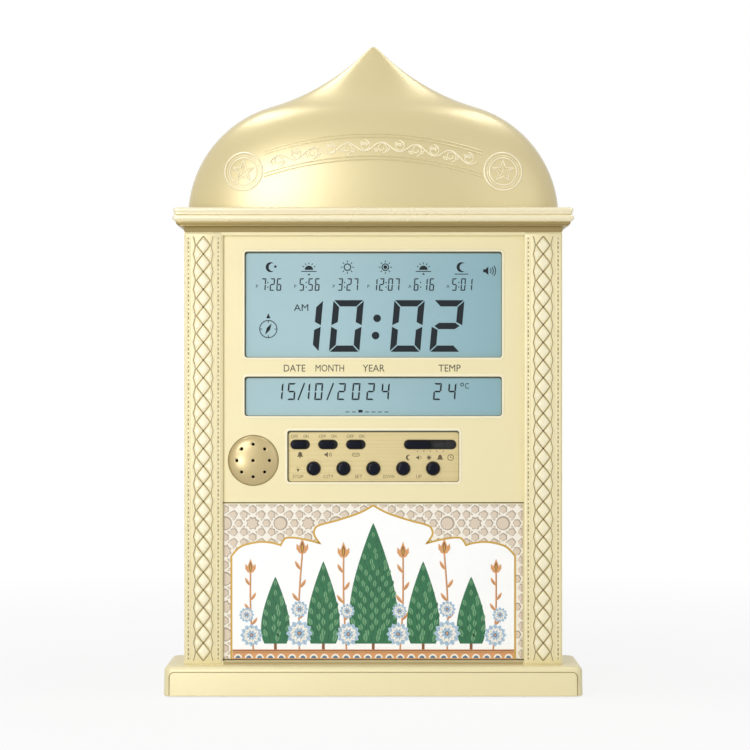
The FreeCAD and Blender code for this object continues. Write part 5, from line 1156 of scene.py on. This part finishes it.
def make_speaker_cap():
    low, high = limits("speaker_cap")
    centre = flat_middle("speaker_cap")
    rim, wall, flange = 13.0, 1.0, (high.x - low.x) / 2
    front, back = -low.y, -high.y
    edge = PANEL_FACE - 0.05
    outer = [(polar(rim, turn)[0], edge + polar(front - edge, turn)[1]) for turn in range(0, 90, 6)]
    inner = [(max(radius - wall, 0.1), forward - wall) for radius, forward in outer][::-1]
    dome = Piece()
    dome.turn(centre, [(flange, back), (flange, back + wall), (rim, back + wall)] + outer
              + [(0.05, front), (0.05, front - wall)] + inner + [(rim - wall, back)], 72, ring=True)
    cap = dome.make("speaker_grille", cap_gold, sharp=45.0)
    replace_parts(cap, "speaker_cap")
    holes = [centre] + ring_points(centre, 8.45, 8)
    cutter, dark = Piece(), Piece()
    for spot in holes:
        cutter.turn(spot, [(0.8, edge - 6.0), (0.8, front + 2.0)], 20)
        # Painted shade: dark discs set just behind each speaker hole.
        dark.turn(spot, [(0.79, edge - 0.9), (0.79, edge - 0.8)], 20)
    tool = cutter.make("speaker_holes", groove_shadow_gold)
    boolean = cap.modifiers.new("holes", "BOOLEAN")
    boolean.operation = "DIFFERENCE"
    boolean.solver = "EXACT"
    boolean.object = tool
    bpy.context.view_layer.update()
    pierced = bpy.data.meshes.new_from_object(cap.evaluated_get(bpy.context.evaluated_depsgraph_get()))
    cap.modifiers.clear()
    cap.data = pierced
    bpy.data.objects.remove(tool)
    # Painted shade: a dark ring in the gap between the speaker cap and the panel.
    gap = Piece()
    gap.stroke(ring_points(centre, rim + 0.28, 72), 0.3, PANEL_FACE - 0.5, PANEL_FACE - 0.1, closed=True)
    gap.make("speaker_grille_gap", groove_shadow_gold)
    dark.make("speaker_hole_shade_backs", hollow_shade_black)


# Printed panel

PRINT_FACE = -limits("picture_sheet")[0].y
sheet_low, sheet_high = limits("picture_sheet")
LAYER = 0.012
LATTICE_PITCH = 14.5
CELL_HEXAGON = [(-2.3, 0.0), (-1.15, -2.0), (1.15, -2.0), (2.3, 0.0), (1.15, 2.0), (-1.15, 2.0)]
CELL_DART = [(-0.7, -0.65), (1.0, 0.0), (-0.7, 0.65)]
LATTICE_EDGE = 0.12
LATTICE_ORIGIN = (-48.3, 89.7)
ARCH_FOOT_X = 73.9
ARCH_HALF = [(-73.9, 72.6), (-69.5, 77.2), (-63.8, 79.2), (-58.2, 79.9), (-52.5, 79.4), (-48.3, 78.2),
             (-46.3, 81.4), (-43.5, 82.2), (-38.5, 81.7), (-33.0, 80.6), (-27.9, 79.2), (-30.6, 83.2),
             (-30.6, 86.2), (-28.2, 88.6), (-18.6, 91.2), (-7.3, 95.0), (0.0, 98.9)]
LOBES = ((0, 5), (5, 10), (10, 16))
TULIP_BUD = [(-3.0, 5.2), (-3.1, 2.4), (-1.7, 0.3), (0.0, -0.5), (1.7, 0.3), (3.1, 2.4), (3.0, 5.2),
             (1.6, 3.8), (0.0, 8.2), (-1.6, 3.8)]
TULIPS = ((14.0, 15.5, 48.0, 1.0), (38.5, 37.0, 50.0, 1.0), (62.5, 64.0, 40.0, 0.9))
ROSETTES = ((13.0, 8.0, 1.15), (38.5, 8.4, 1.3), (63.5, 7.4, 1.1), (38.5, 21.0, 0.85), (13.6, 20.0, 0.75),
            (66.0, 18.0, 0.75))
KERB = 5.4
SCALLOPS = 26


def arch_line():
    """The multifoil arch: springing, lobes with cusps between them, and the pointed top."""
    half = []
    for first, last in LOBES:
        half += smooth_path(ARCH_HALF[first:last + 1], 6)[:-1]
    half.append(ARCH_HALF[-1])
    half = [(-ARCH_FOOT_X, sheet_low.z + 0.1)] + half
    return half + mirrored(half)[1:]


def inside(place, outline):
    x, z = place
    odd = False
    for (ax, az), (bx, bz) in zip(outline, outline[1:] + outline[:1]):
        if (az > z) != (bz > z) and x < ax + (z - az) / (bz - az) * (bx - ax):
            odd = not odd
    return odd


def layer(piece, outline, level):
    piece.plate([outline], PRINT_FACE - 0.01, PRINT_FACE + LAYER * level)


def print_line(piece, path, width, level):
    piece.stroke(path, width, PRINT_FACE - 0.01, PRINT_FACE + LAYER * level)


def trimmed(outline, left, right, low, high):
    """The part of an outline inside a rectangle."""
    for axis, limit, keep in ((0, left, 1), (0, right, -1), (1, low, 1), (1, high, -1)):
        result = []
        for here, after in zip(outline, outline[1:] + outline[:1]):
            here_in, after_in = keep * (here[axis] - limit) >= 0, keep * (after[axis] - limit) >= 0
            if here_in:
                result.append(here)
            if here_in != after_in:
                share = (limit - here[axis]) / (after[axis] - here[axis])
                result.append(tuple(here[way] + share * (after[way] - here[way]) for way in (0, 1)))
        outline = result
        if len(outline) < 3:
            return []
    return outline


def make_lattice(arch):
    """White star strapwork over beige cells, with the white field of the arch laid over it."""
    left, right = sheet_low.x + LATTICE_EDGE, sheet_high.x - LATTICE_EDGE
    low, high = sheet_low.z + 0.1, sheet_high.z - LATTICE_EDGE
    straps, shades, cells, field, line = [Piece() for each in range(5)]
    layer(straps, [(left, low), (right, low), (right, high), (left, high)], 1)

    def cell(outline):
        """A beige opening with the shade that the strapwork throws on its upper right."""
        shape = trimmed(outline, left, right, low, high)
        if len(shape) < 3 or all(inside(place, arch) for place in shape):
            return
        layer(shades, shape, 2)
        centre_x = sum(x for x, z in shape) / len(shape)
        centre_z = sum(z for x, z in shape) / len(shape)
        lit = [(centre_x + (x - centre_x) * 0.8 - 0.22, centre_z + (z - centre_z) * 0.8 - 0.2)
               for x, z in shape]
        layer(cells, trimmed(lit, left, right, low, high) or shape, 3)

    def around(outline, centre, reach, start, step):
        """The same cell set at even turns round a centre."""
        for turn in range(0, 360, step):
            across, up = polar(reach, turn + start)
            cell(moved(outline, centre[0] + across, centre[1] + up, 1.0, turn + start))

    for column in range(-3, 10):
        for row in range(-6, 3):
            x, z = LATTICE_ORIGIN[0] + column * LATTICE_PITCH, LATTICE_ORIGIN[1] + row * LATTICE_PITCH
            if abs(x) < 66 and z < 70:
                continue
            star = (column + row) % 2
            cell(star_points((x, z), 3.7, 2.8, 8, 22.5) if star else ring_points((x, z), 3.7, 24))
            around(star_points((0.0, 0.0), 2.3, 1.9, 5, 180.0), (x, z), 6.5, 45, 90)
            cell(moved(CELL_HEXAGON, x + LATTICE_PITCH / 2, z))
            cell(moved(CELL_HEXAGON, x, z + LATTICE_PITCH / 2, 1.0, 90))
            around(CELL_DART, (x, z), 5.2, 22.5, 45)
    layer(field, [(x, max(z, low)) for x, z in arch], 5)
    print_line(line, arch, 1.0, 6)
    for piece, name, finish in ((straps, "print_border_straps", print_cream),
                                (shades, "print_border_shades", print_shade),
                                (cells, "print_border_cells", print_beige),
                                (field, "print_arch_field", print_white),
                                (line, "print_arch_line", GARDEN_INKS["gold"])):
        piece.make(name, finish)


def leaf_outline(length, width, bend=0.0):
    left, right = [], []
    for step in range(9):
        share = step / 8
        swell = width / 2 * math.sin(math.pi * share) ** 0.8 if 0 < share < 1 else 0.0
        drift = bend * share ** 2
        left.append((drift - swell, length * share))
        right.append((drift + swell, length * share))
    return left[:-1] + right[:0:-1]


def tree_half(share):
    """Half the width of a cypress at a share of its height, as a part of its widest."""
    return math.sin(math.pi * min(1.0, 0.12 + 0.88 * share) ** 0.62) ** 0.9 if share < 1 else 0.0


def cypress(parts, x, low, tall, wide):
    """A flame-shaped tree clothed in rows of small pointed leaves."""
    print_line(parts["brown"], [(x, low), (x, low + 6.0)], 1.5, 7)
    left = [(x - wide / 2 * tree_half(step / 24), low + 3.0 + (tall - 3.0) * step / 24) for step in range(25)]
    layer(parts["green"], left + [(2 * x - px, pz) for px, pz in left[-2::-1]], 8)
    rows = int(tall / 3.1)
    for row in range(rows):
        share = (row + 0.15) / rows
        half = wide / 2 * tree_half(share) - 1.0
        count = max(1, int(half * 2 / 2.6))
        level = 8.4 + 3.0 * row / rows
        for step in range(count):
            offset = (step + 0.5) / count * 2 - 1 + (0.0 if row % 2 else 0.5 / count)
            place = (x + offset * half, low + 3.4 + (tall - 6.0) * share, 1.0 - 0.35 * share, -offset * 26)
            tone = "light" if (row + step) % 2 else "green"
            layer(parts[tone], moved(leaf_outline(4.6, 2.2), *place), level + 0.25 * (step % 2))
            print_line(parts["deep"], moved([(0.0, 0.5), (0.0, 3.6)], *place), 0.28, level + 0.6)


def rosette(parts, centre, size, level):
    for ring, (reach, petals, tone) in enumerate(((5.4, 12, "blue"), (3.9, 10, "white"), (2.5, 8, "blue"))):
        for petal in range(petals):
            place = (*centre, size, 360 * petal / petals + 12 * ring)
            layer(parts[tone], moved(leaf_outline(reach, reach * 0.56), *place), level + ring + 0.07 * petal)
            rib = moved([(0.0, reach * 0.4), (0.0, reach * 0.82)], *place)
            print_line(parts["slate"], rib, 0.16, level + ring + 0.95)
    layer(parts["slate"], ring_points(centre, 0.95 * size, 14), level + 3.5)
    layer(parts["sand"], ring_points(centre, 0.5 * size, 12), level + 3.8)


def tulip(parts, foot, top, size, side):
    stem = smooth_path([foot, ((foot[0] * 0.6 + top[0] * 0.4) + side * 0.8, (foot[1] + top[1]) / 2), top], 12)
    print_line(parts["sand"], stem, 0.9, 7)
    print_line(parts["brown"], [(x + 0.28, z) for x, z in stem], 0.22, 7.4)
    layer(parts["sand"], moved(TULIP_BUD, top[0], top[1], size), 8)
    layer(parts["brown"], moved(leaf_outline(6.0, 1.7), top[0], top[1] + 0.2, size), 9)
    layer(parts["gold"], moved(leaf_outline(4.0, 0.8), top[0], top[1] + 0.8, size), 10)
    for share, turn in ((0.22, 48), (0.36, -44), (0.52, 46), (0.66, -42), (0.8, 40)):
        place = (*stem[int(share * (len(stem) - 1))], 0.9 * size, turn)
        layer(parts["sand"], moved(leaf_outline(6.4, 1.9, 0.8 if turn > 0 else -0.8), *place), 7.6)
        print_line(parts["brown"], moved([(0.0, 0.6), (0.0, 4.6)], *place), 0.2, 7.9)


def make_garden():
    """A row of cypresses, tulips and pale blue rosettes behind a low scalloped kerb."""
    foot = sheet_low.z
    base = foot + KERB
    parts = {name: Piece() for name in GARDEN_INKS}
    for side in (-1, 1):
        for foot_x, top_x, tall, size in TULIPS:
            tulip(parts, (side * foot_x, base), (side * top_x, base + tall), size, side)
    cypress(parts, 0.0, base, 66.0, 25.0)
    for side in (-1, 1):
        cypress(parts, side * 26.0, base, 46.0, 17.0)
        cypress(parts, side * 51.0, base, 38.0, 15.0)
        for x, level, size in ROSETTES:
            rosette(parts, (side * x, base + level), size, 14)
    half = ARCH_FOOT_X - 0.6
    layer(parts["sand"], [(-half, foot + 0.2), (half, foot + 0.2), (half, base), (-half, base)], 19)
    for step in range(SCALLOPS):
        x = -half + (step + 0.5) * 2 * half / SCALLOPS
        for tone, radius, level in (("white", 2.2, 20), ("slate", 2.2 * 0.6, 21)):
            layer(parts[tone], arc_points((x, foot + 0.9), radius, 0, 180, 12), level)
    for drop, width in ((0.5, 0.45), (1.4, 0.2)):
        print_line(parts["brown"], [(-half, base - drop), (half, base - drop)], width, 21)
    for name, piece in parts.items():
        piece.make("print_garden_" + name, GARDEN_INKS[name])


# Build the pieces

make_crown()
make_crown_relief()
make_cornice()
make_pillar("pillar_left", "left_pillar")
make_pillar("pillar_right", "right_pillar")
make_plinth()
make_window_rims()
make_main_display()
make_date_display()
for name in BUTTONS:
    make_button(name)
for name in KNOBS:
    make_knob(name)
make_control_film()
make_control_print()
make_speaker_cap()
make_lattice(arch_line())
make_garden()

# Floor, light and camera

STUDIO_WHITE = 1.0
AMBIENT = 0.37
FLOOR_SHADE = 0.16
FLOOR_NEAR = 0.2
FLOOR_FAR = 0.75
FLOOR_HALF = 3.0


def background_rays(tree):
    """One for every ray that should see the plain white background."""
    rays = add_node(tree, "ShaderNodeLightPath")
    seen = calculate(tree, "ADD", rays.outputs["Is Camera Ray"], rays.outputs["Is Glossy Ray"])
    return calculate(tree, "ADD", seen, rays.outputs["Is Transmission Ray"], clamp=True)


def make_floor_material():
    """Plain pale floor: white to the camera, with the object's shadow kept near its foot."""
    made = bpy.data.materials.new("pale floor")
    made.use_nodes = True
    tree = made.node_tree
    shader = tree.nodes["Principled BSDF"]
    shader.inputs["Base Color"].default_value = (0.9, 0.9, 0.9, 1.0)
    shader.inputs["Roughness"].default_value = 0.9
    shader.inputs["Specular IOR Level"].default_value = 0.0
    white = add_node(tree, "ShaderNodeEmission")
    white.inputs["Strength"].default_value = STUDIO_WHITE
    place = add_node(tree, "ShaderNodeTexCoord").outputs["Object"]
    reach = add_node(tree, "ShaderNodeVectorMath", operation="LENGTH")
    tree.links.new(place, reach.inputs[0])
    fade = add_node(tree, "ShaderNodeMapRange")
    fade.inputs["From Min"].default_value = FLOOR_NEAR
    fade.inputs["From Max"].default_value = FLOOR_FAR
    fade.inputs["To Min"].default_value = 1.0 - FLOOR_SHADE
    fade.inputs["To Max"].default_value = 1.0
    tree.links.new(reach.outputs["Value"], fade.inputs["Value"])
    share = calculate(tree, "MULTIPLY", fade.outputs[0], background_rays(tree), clamp=True)
    blend = add_node(tree, "ShaderNodeMixShader")
    tree.links.new(share, blend.inputs[0])
    tree.links.new(shader.outputs[0], blend.inputs[1])
    tree.links.new(white.outputs[0], blend.inputs[2])
    tree.links.new(blend.outputs[0], tree.nodes["Material Output"].inputs["Surface"])
    return made


def make_stage():
    mesh = bpy.data.meshes.new("floor")
    mesh.from_pydata([(-FLOOR_HALF, -FLOOR_HALF, 0.0), (FLOOR_HALF, -FLOOR_HALF, 0.0),
                      (FLOOR_HALF, FLOOR_HALF, 0.0), (-FLOOR_HALF, FLOOR_HALF, 0.0)], [], [(0, 1, 2, 3)])
    floor = bpy.data.objects.new("floor", mesh)
    bpy.context.scene.collection.objects.link(floor)
    mesh.materials.append(make_floor_material())
    world = bpy.data.worlds.new("studio")
    bpy.context.scene.world = world
    world.use_nodes = True
    tree = world.node_tree
    back = tree.nodes["Background"]
    strength = calculate(tree, "MULTIPLY", background_rays(tree), STUDIO_WHITE - AMBIENT)
    strength = calculate(tree, "ADD", strength, AMBIENT)
    tree.links.new(strength, back.inputs["Strength"])
    back.inputs["Color"].default_value = (1.0, 1.0, 1.0, 1.0)


CASE_AIM = (0.0, 0.0, 0.18)
CROWN_AIM = (0.0, 0.0, 0.3)
LAMPS = (("key", (-0.42, -1.0, 0.54), CASE_AIM, 0.4, 0.4, 3.7),
         ("low_left", (-0.40, -0.95, 0.08), CASE_AIM, 0.16, 0.12, 1.6),
         ("fill", (0.85, -1.0, 0.5), CASE_AIM, 0.8, 0.8, 1.3),
         ("over_left", (-0.42, -0.10, 1.10), CROWN_AIM, 0.5, 0.25, 2.2),
         ("over_right", (0.42, -0.10, 1.10), CROWN_AIM, 0.5, 0.25, 1.6))
CAMERA_PLACE = (0.0009, -1.218, 0.1669)
CAMERA_LENS = 110.8


def make_lights():
    for name, place, aim, wide, tall, power in LAMPS:
        data = bpy.data.lights.new(name, "AREA")
        data.shape = "RECTANGLE"
        data.size, data.size_y = wide, tall
        data.energy = power
        lamp = bpy.data.objects.new(name, data)
        bpy.context.scene.collection.objects.link(lamp)
        lamp.location = place
        lamp.rotation_euler = (Vector(aim) - Vector(place)).to_track_quat("-Z", "Y").to_euler()


def make_camera():
    data = bpy.data.cameras.new("camera")
    data.sensor_width = 36.0
    data.lens = CAMERA_LENS
    camera = bpy.data.objects.new("camera", data)
    bpy.context.scene.collection.objects.link(camera)
    camera.location = CAMERA_PLACE
    camera.rotation_euler = (math.radians(90.0), 0.0, 0.0)
    bpy.context.scene.camera = camera


make_stage()
make_lights()
make_camera()
bpy.context.scene.view_settings.view_transform = "Standard"
